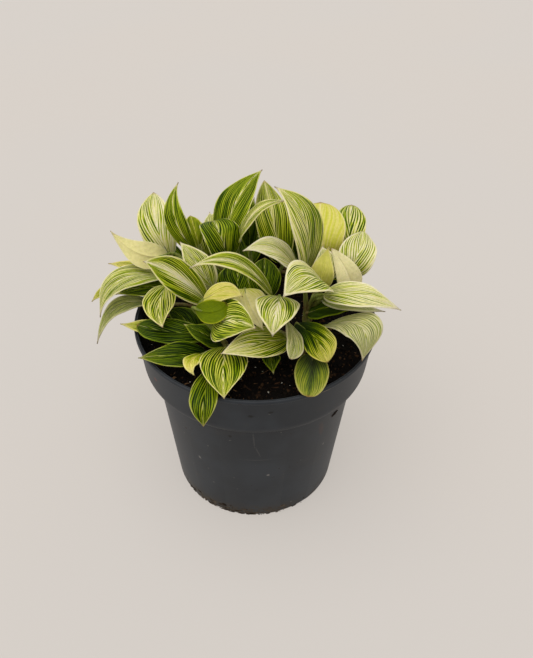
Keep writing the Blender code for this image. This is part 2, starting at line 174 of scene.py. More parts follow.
class Recipe(Nodes):
    """A Geometry Nodes tree with named inputs, which ends in Realize Instances and Set Material."""

    def __init__(self, name: str, **kinds: str) -> None:
        """Starts the tree.

        Args:
            name: the tree's name
            kinds: the kind of socket of each named input
        """
        super().__init__(bpy.data.node_groups.new(name, "GeometryNodeTree"))
        sockets = self.tree.interface
        sockets.new_socket("Geometry", in_out="INPUT", socket_type="NodeSocketGeometry")
        self.identifiers = {
            label: sockets.new_socket(label, in_out="INPUT", socket_type=f"NodeSocket{kind}").identifier
            for label, kind in {**kinds, "finish": "Material"}.items()
        }
        sockets.new_socket("Geometry", in_out="OUTPUT", socket_type="NodeSocketGeometry")
        self.given = self.tree.nodes.new("NodeGroupInput").outputs

    def end(self, geometry: Socket) -> None:
        """Realizes the geometry, gives it its finish and sends it out.

        Args:
            geometry: what the tree has made
        """
        real = self.result("GeometryNodeRealizeInstances", {"Geometry": geometry})
        dressed = self.result("GeometryNodeSetMaterial", {"Geometry": real, "Material": self.given["finish"]})
        self.add("NodeGroupOutput", {"Geometry": dressed})

    def run(self, thing: bpy.types.Object, **values: object) -> bpy.types.Object:
        """Runs the tree on an object and keeps the result as its plain mesh.

        Args:
            thing: the object, whose own mesh the tree starts from
            values: the named inputs

        Returns:
            The same object, with no modifier left.
        """
        modifier = thing.modifiers.new(self.tree.name, "NODES")
        modifier.node_group = self.tree
        for label, value in values.items():
            modifier[self.identifiers[label]] = value
        graph = bpy.context.evaluated_depsgraph_get()
        mesh = bpy.data.meshes.new_from_object(thing.evaluated_get(graph))
        mesh.name = thing.name
        thing.modifiers.clear()
        thing.data = mesh
        return thing


class Finish(Nodes):
    """A material with one Principled shader, built a node at a time."""

    def __init__(self, name: str, roughness: float, **shader: float | tuple) -> None:
        """Starts the material.

        Args:
            name: its name
            roughness: how rough the surface is, from 0 to 1
            shader: constants of the shader's own sockets, with _ for each space in a socket's name
        """
        self.material = bpy.data.materials.new(name)
        self.material.use_nodes = True
        super().__init__(self.material.node_tree)
        self.shader = self.tree.nodes["Principled BSDF"]
        self.shader.inputs["Roughness"].default_value = roughness
        for key, value in shader.items():
            self.shader.inputs[key.replace("_", " ")].default_value = value
        self.place = self.result("ShaderNodeTexCoord", output="Object")

    def maths(self, operation: str, *values: Socket | float) -> Socket:
        """One sum of one to three numbers."""
        return self.result("ShaderNodeMath", dict(enumerate(values)), operation=operation)

    def times(self, first: Socket | float, second: Socket | float) -> Socket:
        """The product of two numbers."""
        return self.maths("MULTIPLY", first, second)

    def plus(self, first: Socket | float, second: Socket | float) -> Socket:
        """The sum of two numbers."""
        return self.maths("ADD", first, second)

    def less(self, first: Socket | float, second: Socket | float) -> Socket:
        """The first number less the second."""
        return self.maths("SUBTRACT", first, second)

    def parts(self, vector: Socket) -> tuple[Socket, ...]:
        """The three numbers of a vector."""
        return tuple(self.add("ShaderNodeSeparateXYZ", {0: vector}).outputs)

    def places(self) -> tuple[Socket, ...]:
        """The place on the object, as x, y and z in millimetres."""
        return tuple(self.times(part, 1 / MM) for part in self.parts(self.place))

    def together(self, *numbers: Socket | float) -> Socket:
        """Three numbers as a vector."""
        return self.result("ShaderNodeCombineXYZ", dict(enumerate(numbers)))

    def kept(self, name: str) -> tuple[Socket, ...]:
        """The three numbers that a mesh keeps at each point under a name."""
        return self.parts(self.result("ShaderNodeAttribute", output="Vector", attribute_name=name))

    def ease(self, low: float, high: float, value: Socket) -> Socket:
        """How far a number has come from low to high, from 0 to 1, with soft ends."""
        settings = {"Value": value, "From Min": low, "From Max": high}
        return self.result("ShaderNodeMapRange", settings, interpolation_type="SMOOTHSTEP")

    def grain(self, where: Socket, scale: float, detail: float = 2.0, roughness: float = 0.5) -> Socket:
        """Soft noise about one half, at a scale."""
        settings = {"Vector": where, "Scale": scale, "Detail": detail, "Roughness": roughness}
        return self.result("ShaderNodeTexNoise", settings, "Fac")

    def blotches(
        self, low: float, high: float, scale: float, detail: float = 2.0, roughness: float = 0.5
    ) -> Socket:
        """Noise over the object's surface, hardened between two values."""
        return self.ease(low, high, self.grain(self.place, scale, detail, roughness))

    def stretched(self, scale: Point) -> Socket:
        """The place on the object, with each axis multiplied."""
        return self.result("ShaderNodeMapping", {"Vector": self.place, "Scale": scale})

    def mixed(
        self, share: Socket | float, first: Socket | Colour, second: Socket | Colour, how: str = "MIX"
    ) -> Socket:
        """Takes the first colour some way to the second.

        Args:
            share: how far, from 0 to 1
            first: the first colour
            second: the second colour
            how: Blender's name of the way that they are blended

        Returns:
            The colour between them.
        """
        inputs = {0: share, 6: first, 7: second}
        for key in (6, 7):
            if isinstance(inputs[key], tuple):
                inputs[key] = (*inputs[key], 1.0)
        return self.result("ShaderNodeMix", inputs, 2, data_type="RGBA", blend_type=how)

    def laid(self, share: Socket, strength: float, colour: Socket, over: Colour) -> Socket:
        """A colour with another laid over it, by a share at a strength."""
        return self.mixed(self.times(share, strength), colour, over)

    def ramp(self, value: Socket, *stops: tuple[float, Colour]) -> Socket:
        """Reads a colour off a row of stops.

        Args:
            value: the number to read at
            stops: the number and the colour of each stop

        Returns:
            The colour.
        """
        node = self.add("ShaderNodeValToRGB", {0: value})
        elements = node.color_ramp.elements
        while len(elements) < len(stops):
            elements.new(1.0)
        for element, (place, colour) in zip(elements, stops):
            element.position = place
            element.color = (*colour, 1.0)
        return node.outputs[0]

    def send(self, socket: Socket, name: str) -> None:
        """Sends a socket to one of the shader's own."""
        self.tree.links.new(socket, self.shader.inputs[name])

    def relief(self, height: Socket, depth: float, strength: float) -> None:
        """Gives the surface a fine relief of a depth in millimetres."""
        bump = {"Height": height, "Distance": depth * MM, "Strength": strength}
        self.send(self.result("ShaderNodeBump", bump), "Normal")

    def roughness(self, low: float, high: float, value: Socket) -> None:
        """Sends a roughness between two ends to the shader."""
        span = {"Value": value, "To Min": low, "To Max": high}
        self.send(self.result("ShaderNodeMapRange", span), "Roughness")


@dataclass(frozen=True)
class Spots:
    """A colour that is laid over a surface wherever noise rises from one value to another.

    Attributes:
        low: the noise where a spot begins
        high: the noise where it is full
        scale: how fine the noise is
        detail: how many finer layers it has
        strength: how far the colour covers what is below
        colour: the colour
        roughness: how strong the finer layers are
        stretch: what each axis is multiplied by first
    """

    low: float
    high: float
    scale: float
    detail: float
    strength: float
    colour: Colour
    roughness: float = 0.5
    stretch: Point = (1.0, 1.0, 1.0)

    def over(self, finish: Finish, colour: Socket) -> Socket:
        """Lays the spots over the colour of a finish."""
        rise = finish.grain(finish.stretched(self.stretch), self.scale, self.detail, self.roughness)
        return finish.laid(finish.ease(self.low, self.high, rise), self.strength, colour, self.colour)


# The leaves


@dataclass(frozen=True)
class Paint:
    """How a leaf is coloured.

    Attributes:
        cream: the share of cream among the stripes
        heart: more cream in a band along the midrib
        thread: more cream in a narrow line on the midrib
        side: more cream on the right half of the blade, seen from its stalk, or less below zero
        end: more cream towards the tip
        margin: the width of the cream margin
        rim: how far the margin turns cream
        lines: the number of stripes across each half of the blade
        yellow: how far the leaf has turned yellow
        yellow_end: how far its tip half has
        dark_green_and_shade: how dark its greens are: partly the leaf's own darker green, partly painted
            shade where it lies in shadow among the other leaves
        grey: how dull it is
        bare: how far its stripes have faded
        brown: how brown its tip is
    """

    cream: float
    heart: float = 0.0
    thread: float = 0.22
    side: float = 0.0
    end: float = 0.0
    margin: float = 0.6
    rim: float = 0.36
    lines: float = 10.0
    yellow: float = 0.0
    yellow_end: float = 0.0
    dark_green_and_shade: float = 0.0
    grey: float = 0.0
    bare: float = 0.0
    brown: float = 0.8

    def underside(self) -> "Paint":
        """The same leaf's lower face: paler, duller and with its stripes faint.

        Returns:
            The lower face's colours.
        """
        faint = {"heart": 0.0, "thread": 0.0, "rim": 0.15, "bare": max(0.75, self.bare)}
        dull = {"yellow": min(1.0, self.yellow + 0.15), "grey": min(1.0, self.grey + 0.2)}
        return replace(self, cream=0.26 + 0.6 * self.cream, **faint, **dull)


class Look(Enum):
    """The kinds of leaf on the plant."""

    PINSTRIPED = Paint(cream=0.34, heart=0.1)
    STREAKED = Paint(cream=0.48, lines=9)
    HEARTED = Paint(cream=0.40, heart=0.4, margin=0.9, lines=9)
    CREAMY = Paint(cream=0.64, margin=0.9, lines=8)
    # Dark leaves: partly darker green, partly painted shade for leaves that lie in shadow deep in the plant.
    DARK = Paint(cream=0.2, margin=0.8, rim=0.3, dark_green_and_shade=0.5)
    YELLOWED = Paint(cream=0.74, yellow=0.85, bare=0.5, lines=6)
    PLAIN = Paint(cream=0.72, margin=0.5, rim=0.1, yellow=0.45, bare=0.9)
    OLIVE = Paint(cream=0.42, margin=0.7, yellow=0.75, dark_green_and_shade=0.25, bare=0.35, lines=8)
    GREYED = Paint(cream=0.5, margin=0.9, grey=0.7, lines=9)


@dataclass(frozen=True)
class Leaf:
    """One leaf of a plantlet.

    Attributes:
        name: what it is called
        base: where its midrib begins
        arch: the midrib's middle
        tip: where the midrib ends
        width: the blade's width
        roll: how far the blade is turned round its length, in degrees
        fold: how far its halves are folded up, in degrees
        look: the kind of leaf
        but: the colours that differ from its kind's
        widest: the share of its length at which it is widest
        point: how drawn out its tip is
    """

    name: str
    base: Point
    arch: Point
    tip: Point
    width: float
    roll: float
    fold: float
    look: Look
    but: dict[str, float] = field(default_factory=dict)
    widest: float = 0.36
    point: float = 1.2

    def paint(self) -> Paint:
        """The leaf's own colours."""
        return replace(self.look.value, **self.but)

    def midrib(self, along: Sequence[float]) -> tuple[np.ndarray, np.ndarray]:
        """Points and directions of the midrib.

        Args:
            along: shares of the blade's length

        Returns:
            A row for each point, and a row for the direction there.
        """
        base, arch, tip = (np.array(place, float) for place in (self.base, self.arch, self.tip))
        control = 2 * arch - (base + tip) / 2
        u = np.asarray(along, float)[:, None]
        points = (1 - u) ** 2 * base + 2 * u * (1 - u) * control + u**2 * tip
        ways = (1 - u) * (control - base) + u * (tip - control)
        return points, ways / np.linalg.norm(ways, axis=1)[:, None]

    def frame(self, ways: np.ndarray) -> tuple[np.ndarray, np.ndarray]:
        """Turns the midrib's directions into those of the blade.

        Args:
            ways: the direction of the midrib at each place

        Returns:
            The direction across the blade and the one out of its upper face, at each place.
        """
        chord = unit(np.subtract(self.tip, self.base))
        level = unit(np.cross(chord, (0, 0, 1)))
        roll = math.radians(self.roll)
        across = level * math.cos(roll) + np.cross(level, chord) * math.sin(roll)
        sides = across - ways * (ways @ across)[:, None]
        sides /= np.linalg.norm(sides, axis=1)[:, None]
        return sides, np.cross(sides, ways)


@dataclass
class BladeGrid:
    """The grid that every blade is laid out on, and the run of its veins.

    A vein leaves the midrib at a low angle, bends on toward the tip and dies out beside the margin.
    Each point of the grid is labelled with the vein that passes through it.
    """

    steps: int = 56
    panels: int = 28
    base_crowding: float = 1.3
    side_crowding: float = 0.1
    vein_lean: float = 1.35

    def __post_init__(self) -> None:
        """Works out the grid and its labels."""
        self.along = np.linspace(0, 1, self.steps + 1) ** self.base_crowding
        even = np.linspace(-1, 1, self.panels + 1)
        across = even - self.side_crowding * np.sin(FULL_TURN * even)
        self.u, self.v = np.meshgrid(self.along, across, indexing="ij")
        self.labels = self.u / self.vein_lean - np.abs(self.v)

    def quads(self) -> tuple[np.ndarray, np.ndarray]:
        """The faces of one blade.

        Returns:
            The four points of each face, and 1 where the face is on the right half, or 0.
        """
        row = self.panels + 1
        under = (self.steps + 1) * row
        step, panel = np.meshgrid(np.arange(self.steps), np.arange(self.panels), indexing="ij")
        a = (step * row + panel).ravel()
        right = (panel.ravel() >= self.panels // 2).astype(int)
        faces = [np.stack([a, a + 1, a + row + 1, a + row], 1)]
        faces += [np.stack([a, a + row, a + row + 1, a + 1], 1) + under]
        run = np.arange(self.steps) * row
        ends = np.arange(self.panels)
        last = self.steps * row + ends
        long_rims = ((run, run + row), (run + row + self.panels, run + self.panels))
        for a, b in (*long_rims, (ends + 1, ends), (last, last + 1)):
            faces.append(np.stack([a, b, under + b, under + a], 1))
        halves = [right, right, np.zeros(self.steps), np.ones(self.steps)]
        halves += [ends >= self.panels // 2, ends >= self.panels // 2]
        return np.concatenate(faces), np.concatenate(halves).astype(int)


@dataclass
class Blade:
    """The mesh of one blade, a thin solid with a sunk midrib, raised veins and a waved margin."""

    leaf: Leaf
    grid: BladeGrid
    seed: int
    thickness: float = 0.46
    margin_thinning: float = 0.5
    bluntness: float = 0.95
    curl: float = 0.16
    fold_full_from: float = 0.35
    least_half_width: float = 0.16
    crease: float = 0.07
    groove_depth: float = 0.3
    groove_width: float = 0.06
    rib_depth: float = 0.55
    vein_height: float = 0.07
    veins: float = 7.0
    unevenness: float = 0.05
    ripple: float = 0.35
    ripple_bend: float = 2.5
    fewest_waves: float = 1.6
    most_waves: float = 2.6
    heart_width: float = 0.27
    thread_width: float = 0.4
    base_shade: float = 0.25
    end_from: float = 0.45
    margin_fading: float = 0.6
    tip_from: float = 0.955

    def half_width(self) -> np.ndarray:
        """Half of the blade's width along it: round near the stalk, drawn out at the tip.

        Returns:
            A column with one number for each step along the blade.
        """
        u, widest = self.grid.along, self.leaf.widest
        near = np.sqrt(np.clip(1 - ((widest - u) / widest) ** 2, 0, 1))
        far = np.clip((u - widest) / (1 - widest), 0, 1)
        drawn = np.cos(math.pi / 2 * far**self.bluntness) ** self.leaf.point
        half = np.where(u < widest, near, drawn) * self.leaf.width / 2
        return np.maximum(half, self.least_half_width)[:, None]

    def sheet(self) -> tuple[np.ndarray, np.ndarray]:
        """The blade's middle surface.

        Returns:
            Its points on the grid, and the direction out of its upper face at each.
        """
        rng = np.random.default_rng(self.seed)
        points, ways = self.leaf.midrib(self.grid.along)
        sides, ups = self.leaf.frame(ways)
        half = self.half_width()
        u, v = self.grid.u, self.grid.v
        full_from = self.fold_full_from * self.leaf.width / 2
        fold = math.radians(self.leaf.fold) * np.minimum(1, half / full_from)
        away = np.sqrt(v**2 + self.crease**2) - self.crease
        uneven = 1 - self.unevenness * rng.random() * (v * rng.choice((-1, 1)) > 0)
        lift = half * (away * np.sin(fold) - self.curl * v**2)
        spread = half * v * np.cos(fold) * uneven
        # The margin waves up and down, each half in its own time.
        waves = rng.uniform(self.fewest_waves, self.most_waves)
        start = rng.uniform(0, FULL_TURN, 2)
        phase = np.where(v > 0, start[0], start[1])
        fade = np.sqrt(np.clip(np.sin(math.pi * np.clip(u, 0, 1)), 0, 1))
        wave = np.sin(FULL_TURN * waves * u + phase)
        lift = lift + self.ripple * np.abs(v) ** self.ripple_bend * fade * wave
        # Each lateral vein stands a little sunk between low ridges.
        body = eased(0.05, 0.25, np.abs(v)) * eased(1.0, 0.8, np.abs(v)) * fade
        lift = lift + self.vein_height * body * np.cos(FULL_TURN * self.veins * self.grid.labels)
        sheet = points[:, None] + sides[:, None] * spread[..., None] + ups[:, None] * lift[..., None]
        outward = np.cross(np.gradient(sheet, axis=1), np.gradient(sheet, axis=0))
        return sheet, outward / np.linalg.norm(outward, axis=2)[..., None]

    def points(self) -> np.ndarray:
        """Gives the sheet its thickness, with a groove along the midrib and a rib below it.

        Returns:
            The points of the upper face and then of the lower one.
        """
        sheet, outward = self.sheet()
        u, v = self.grid.u, self.grid.v
        thick = self.thickness / 2 * (1 - self.margin_thinning * np.abs(v) ** 6)
        near_rib = np.exp(-((v / self.groove_width) ** 2)) * eased(1.0, 0.75, u)
        upper = sheet + outward * (thick - self.groove_depth * near_rib * eased(0, 0.05, u))[..., None]
        lower = sheet - outward * (thick + self.rib_depth * near_rib * eased(1.0, 0.3, u))[..., None]
        return np.concatenate([upper.reshape(-1, 3), lower.reshape(-1, 3)])

    def colours(self, paint: Paint) -> tuple[np.ndarray, np.ndarray]:
        """The broad run of one face's colours, which the stripes are drawn on.

        Args:
            paint: the colours of the face

        Returns:
            A row of cream, yellow and dark for each point, the dark partly the leaf's own darker green and
            partly painted shade, and a row of grey, brown and bare.
        """
        u, v, half = self.grid.u, self.grid.v, self.half_width()
        edge = (1 - np.abs(v)) * half
        margin = eased(paint.margin * 1.15, paint.margin * 0.5, edge)
        cream = paint.cream + paint.heart * np.exp(-((v / self.heart_width) ** 2)) * eased(0.02, 0.3, u)
        cream = cream + paint.thread * np.exp(-((v * half / self.thread_width) ** 2))
        cream = cream + paint.side * v + paint.end * (u - self.end_from) + paint.rim * margin
        yellow = np.clip(paint.yellow + paint.yellow_end * eased(0.35, 0.75, u), 0, 1)
        # Painted shade also darkens each blade towards its stalk, deep in the plant.
        dark_green_and_shade = np.clip(paint.dark_green_and_shade + self.base_shade * eased(0.3, 0.0, u), 0, 1)
        along_edges = 0.5 * eased(0.8, 1.0, u) * eased(0.5, 0.15, edge)
        brown = paint.brown * np.maximum(eased(self.tip_from, 1.0, u), along_edges)
        bare = np.clip(paint.bare + self.margin_fading * margin, 0, 1)
        grey = np.full_like(v, paint.grey)
        kept = ((cream, yellow, dark_green_and_shade), (grey, brown, bare))
        return tuple(np.stack(three, -1).reshape(-1, 3) for three in kept)


@dataclass
class Plantlet:
    """One plantlet: a short stem in the soil with its stalks and blades.

    Its two offsets keep the stripes of each half and of each leaf apart in the noise they come from.
    """

    name: str
    foot: tuple[float, float]
    leaves: tuple[Leaf, ...]
    soil_top: float = 97.6
    stem_radius: float = 2.7
    stem_foot_radius: float = 1.6
    stem_top_radius: float = 2.1
    stem_depth: float = 11.5
    stem_rise: float = 5.3
    stalk_radius: float = 1.35
    stalk_end_radius: float = 0.5
    stalk_steps: int = 16
    stalk_sides: int = 10
    stalk_rise: float = 3.3
    stalk_spacing: float = 0.4
    stalk_start: float = 0.4
    rise_share: float = 0.4
    settle_share: float = 0.38
    least_share: float = 0.55
    full_width: float = 45.0
    slimming: float = 1.2
    foot_flare: tuple[float, float] = (1.35, 1.15)
    end_swell: float = 0.2
    under_midrib: tuple[float, ...] = (0.04, 0.09, 0.16, 0.26)
    under_swell: tuple[float, ...] = (1.2, 1.0, 0.8, 0.4)
    under_depth: float = 0.35
    half_offset: float = 37.0
    leaf_offset: float = 11.3

    def blades(self, grid: BladeGrid, first_seed: int, finish: bpy.types.Material) -> bpy.types.Object:
        """Builds the blades as one piece.

        Args:
            grid: the grid that they are laid out on
            first_seed: the number that the first leaf's own unevenness comes from
            finish: the leaves' material

        Returns:
            The piece.
        """
        quads, halves = grid.quads()
        labels = np.tile(grid.labels.ravel(), 2)
        along = np.tile(grid.u.ravel(), 2)
        points, faces, veins, paint, age = [], [], [], [], []
        for order, leaf in enumerate(self.leaves):
            seed = first_seed + order
            blade = Blade(leaf, grid, seed)
            faces.append(quads + order * len(along))
            points.append(blade.points())
            top = leaf.paint()
            for face in (top, top.underside()):
                colours = blade.colours(face)
                paint.append(colours[0])
                age.append(colours[1])
            run = labels[quads] * top.lines + self.half_offset * halves[:, None] + self.leaf_offset * seed
            veins.append(np.stack([run, along[quads]], -1).reshape(-1, 2))
        name = f"{self.name}_blades"
        mesh = make_mesh(name, np.concatenate(points), np.concatenate(faces).tolist())
        places = np.concatenate(veins).astype(np.float32).ravel()
        mesh.uv_layers.new(name="veins").data.foreach_set("uv", places)
        store(mesh, "leaf_paint", np.concatenate(paint))
        store(mesh, "leaf_age", np.concatenate(age))
        mesh.materials.append(finish)
        mesh.shade_smooth()
        return add_object(name, mesh)

    def stem_line(self) -> tuple[np.ndarray, np.ndarray]:
        """The line of the stem, from its foot in the soil up to its blunt top.

        Returns:
            The line's points and the stem's radius at each.
        """
        soil, top = self.soil_top, self.soil_top + self.stem_rise
        heights = (soil - self.stem_depth, soil - 2, soil + 1, top - 2.4, top - 1, top)
        middle, end = self.stem_radius, self.stem_top_radius
        radii = (self.stem_foot_radius, middle, middle, end, end * 0.8, 0.5)
        return np.array([(*self.foot, height) for height in heights]), np.array(radii)

    def stalk_line(self, leaf: Leaf, order: int) -> tuple[np.ndarray, np.ndarray]:
        """The line of one stalk, out of the stem, up to its blade and on under the midrib.

        Args:
            leaf: the leaf that it carries
            order: the leaf's place on the stem

        Returns:
            The line's points and the stalk's radius at each.
        """
        (base, *_), (way, *_) = leaf.midrib((0.0, 0.1))
        rise = self.soil_top + self.stalk_rise + self.stalk_spacing * (order % 4)
        away = unit((base[0] - self.foot[0], base[1] - self.foot[1], 0.0))
        start = np.array((*self.foot, rise)) + away * self.stem_top_radius * self.stalk_start
        reach = np.linalg.norm(base - start)
        # It leaves the stem steeply and comes into the blade along the midrib.
        lean = unit((base - start) * (0.5, 0.5, 0) + (0, 0, reach))
        first = start + lean * reach * self.rise_share
        second = base - way * reach * self.settle_share
        u = np.linspace(0, 1, self.stalk_steps)[:, None]
        line = (1 - u) ** 3 * start + 3 * u * (1 - u) ** 2 * first + 3 * u**2 * (1 - u) * second + u**3 * base
        under, ways = leaf.midrib(self.under_midrib)
        line = np.vstack([line, under - leaf.frame(ways)[1] * self.under_depth])
        slimmer = self.stalk_radius * min(1.0, self.least_share + leaf.width / self.full_width)
        end = self.stalk_end_radius + self.end_swell
        radii = slimmer + (end - slimmer) * u.ravel() ** self.slimming
        # Its foot flares where it clasps the stem.
        radii[:2] *= self.foot_flare
        return line, np.concatenate([radii, self.stalk_end_radius * np.array(self.under_swell)])

    def stalks(self, recipe: Recipe, finish: bpy.types.Material) -> bpy.types.Object:
        """Sweeps the stem and the stalks along their lines, as one piece.

        Args:
            recipe: the tree that sweeps them
            finish: their material

        Returns:
            The piece.
        """
        lines = [self.stem_line(), *(self.stalk_line(leaf, order) for order, leaf in enumerate(self.leaves))]
        edges, count = [], 0
        for line, _ in lines:
            edges += [(count + k, count + k + 1) for k in range(len(line) - 1)]
            count += len(line)
        name = f"{self.name}_stalks"
        mesh = make_mesh(name, np.concatenate([line for line, _ in lines]), edges=edges)
        store(mesh, "stalk_radius", np.concatenate([radii for _, radii in lines]) * MM)
        return recipe.run(add_object(name, mesh), sides=self.stalk_sides, finish=finish)


def stalk_recipe() -> Recipe:
    """Builds the tree that sweeps a round section along loose lines, at the radius that each point keeps.

    Returns:
        The tree.
    """
    recipe = Recipe("sweep_stalks", sides="Int")
    line = recipe.result("GeometryNodeMeshToCurve", {"Mesh": recipe.given["Geometry"]})
    ring = {"Resolution": recipe.given["sides"], "Radius": 1.0}
    section = recipe.result("GeometryNodeCurvePrimitiveCircle", ring)
    radius = recipe.result("GeometryNodeInputNamedAttribute", {"Name": "stalk_radius"}, data_type="FLOAT")
    sweep = {"Curve": line, "Profile Curve": section, "Scale": radius, "Fill Caps": True}
    tube = recipe.result("GeometryNodeCurveToMesh", sweep)
    recipe.end(recipe.result("GeometryNodeSetShadeSmooth", {"Geometry": tube}))
    return recipe


@dataclass(frozen=True)
class Streaks:
    """A layer of noise that is drawn out along the veins.

    Attributes:
        across: how fast it changes from vein to vein
        down: how fast it changes along the blade
        layer: where in the noise it is cut
        detail: how fine it goes
        weight: how far it moves the colour
    """

    across: float
    down: float
    layer: float
    detail: float
    weight: float

    def noise(self, leaf: Finish, line: Socket, along: Socket) -> Socket:
        """The layer's own noise about zero, before its weight."""
        where = leaf.together(leaf.times(line, self.across), leaf.times(along, self.down), self.layer)
        return leaf.less(leaf.grain(where, 1.0, self.detail, 0.6), 0.5)


@dataclass(frozen=True)
class LeafFinish:
    """The living surface of the blades: streaks of cream and green that follow the veins."""

    deep_green: Colour = (0.011, 0.028, 0.0005)
    green: Colour = (0.085, 0.150, 0.001)
    young_green: Colour = (0.275, 0.355, 0.004)
    pale_green: Colour = (0.545, 0.560, 0.035)
    cream: Colour = (0.74, 0.672, 0.31)
    white: Colour = (0.80, 0.735, 0.51)
    yellowing: Colour = (0.98, 0.93, 0.40)
    # The tint that darkens the greens, both for darker leaves and for painted shade.
    shading: Colour = (0.26, 0.34, 0.28)
    dulled: Colour = (0.30, 0.29, 0.17)
    cell_shade: Colour = (0.62, 0.66, 0.5)
    tip_brown: Colour = (0.20, 0.075, 0.030)
    scattered: Colour = (0.6, 0.8, 0.25)
    patches: Streaks = Streaks(0.35, 1.6, 0.0, 1.0, 0.45)
    streaks: Streaks = Streaks(1.3, 1.1, 5.0, 2.0, 1.45)
    hairs: Streaks = Streaks(3.4, 2.6, 11.0, 1.5, 1.3)
    wander: Streaks = Streaks(0.45, 2.2, 17.0, 1.0, 1.1)
    beat_weight: float = 0.24
    stops: tuple[float, ...] = (0.10, 0.32, 0.47, 0.57, 0.68, 1.0)
    dulling: float = 0.5
    cell_scale: float = 700.0
    cell_strength: float = 0.35
    spot_scale: float = 500.0
    beat_rise: float = 0.3
    relief_depth: float = 0.12
    relief_strength: float = 0.6
    darkest: float = 0.36
    lightest: float = 0.21
    roughness: float = 0.46
    smoother: float = 0.06
    rougher: float = 0.12

    def make(self) -> bpy.types.Material:
        """Draws patches, streaks, fine hairs and an even beat of lines along the veins.

        Returns:
            The material.
        """
        settings = {"Specular_IOR_Level": 0.06, "Subsurface_Weight": 0.1, "Subsurface_Scale": 0.0012}
        leaf = Finish("striped_leaf", self.roughness, **settings, Subsurface_Radius=self.scattered)
        line, along, _ = leaf.parts(leaf.result("ShaderNodeUVMap", uv_map="veins"))
        cream, yellow, dark_green_and_shade = leaf.kept("leaf_paint")
        grey, brown, bare = leaf.kept("leaf_age")
        layers = (self.patches, self.streaks, self.hairs, self.wander)
        patch, streak, hair, wander = (layer.noise(leaf, line, along) for layer in layers)
        wandering = leaf.plus(line, leaf.times(wander, self.wander.weight))
        beat = leaf.maths("COSINE", leaf.times(wandering, FULL_TURN))
        drawn = leaf.times(patch, self.patches.weight)
        weighed = ((streak, self.streaks.weight), (hair, self.hairs.weight), (beat, self.beat_weight))
        for layer, weight in weighed:
            drawn = leaf.maths("MULTIPLY_ADD", layer, weight, drawn)
        drawn = leaf.maths("MINIMUM", leaf.maths("MAXIMUM", drawn, -self.darkest), self.lightest)
        value = leaf.maths("MULTIPLY_ADD", drawn, leaf.less(1.0, bare), cream)
        greens = (self.deep_green, self.green, self.young_green, self.pale_green)
        colour = leaf.ramp(value, *zip(self.stops, (*greens, self.cream, self.white)))
        colour = leaf.mixed(yellow, colour, self.yellowing, "MULTIPLY")
        colour = leaf.laid(grey, self.dulling, colour, self.dulled)
        # Darkens the greens: partly the leaf's own darker green, partly painted shade where the leaf lies in
        # shadow.
        colour = leaf.mixed(dark_green_and_shade, colour, self.shading, "MULTIPLY")
        cells = leaf.grain(leaf.place, self.cell_scale)
        shade = leaf.ramp(cells, (0.3, self.cell_shade), (0.7, (1.0, 1.0, 1.0)))
        colour = leaf.mixed(self.cell_strength, colour, shade, "MULTIPLY")
        spots = leaf.times(brown, leaf.blotches(0.3, 0.5, self.spot_scale))
        leaf.send(leaf.mixed(spots, colour, self.tip_brown), "Base Color")
        leaf.roughness(self.roughness - self.smoother, self.roughness + self.rougher, cells)
        rise = leaf.maths("MULTIPLY_ADD", beat, self.beat_rise, leaf.plus(leaf.plus(streak, hair), cells))
        leaf.relief(rise, self.relief_depth, self.relief_strength)
        return leaf.material


@dataclass(frozen=True)
class StalkFinish:
    """The stalks and stems: light green, flushed with pink brown near the soil."""

    green: Colour = (0.11, 0.15, 0.02)
    pale: Colour = (0.25, 0.27, 0.06)
    flushed: Colour = (0.13, 0.055, 0.03)
    flush_from: float = 118.0
    flush_to: float = 100.0
    flush_scale: float = 220.0
    line_scale: float = 900.0
    line_stretch: Point = (1.0, 1.0, 0.2)
    roughness: float = 0.45
    relief_depth: float = 0.1
    relief_strength: float = 0.5

    def make(self) -> bpy.types.Material:
        """Draws fine lines up the stalks and the flush at their feet.

        Returns:
            The material.
        """
        settings = {"Specular_IOR_Level": 0.2, "Subsurface_Weight": 0.08, "Subsurface_Scale": 0.0012}
        stalk = Finish("leaf_stalk", self.roughness, **settings)
        lines = stalk.grain(stalk.stretched(self.line_stretch), self.line_scale, 3.0)
        colour = stalk.ramp(lines, (0.35, self.green), (0.65, self.pale))
        low = stalk.ease(self.flush_from, self.flush_to, stalk.places()[2])
        flush = stalk.times(low, stalk.blotches(0.3, 0.6, self.flush_scale))
        stalk.send(stalk.mixed(flush, colour, self.flushed), "Base Color")
        stalk.relief(lines, self.relief_depth, self.relief_strength)
        return stalk.material


# The pot


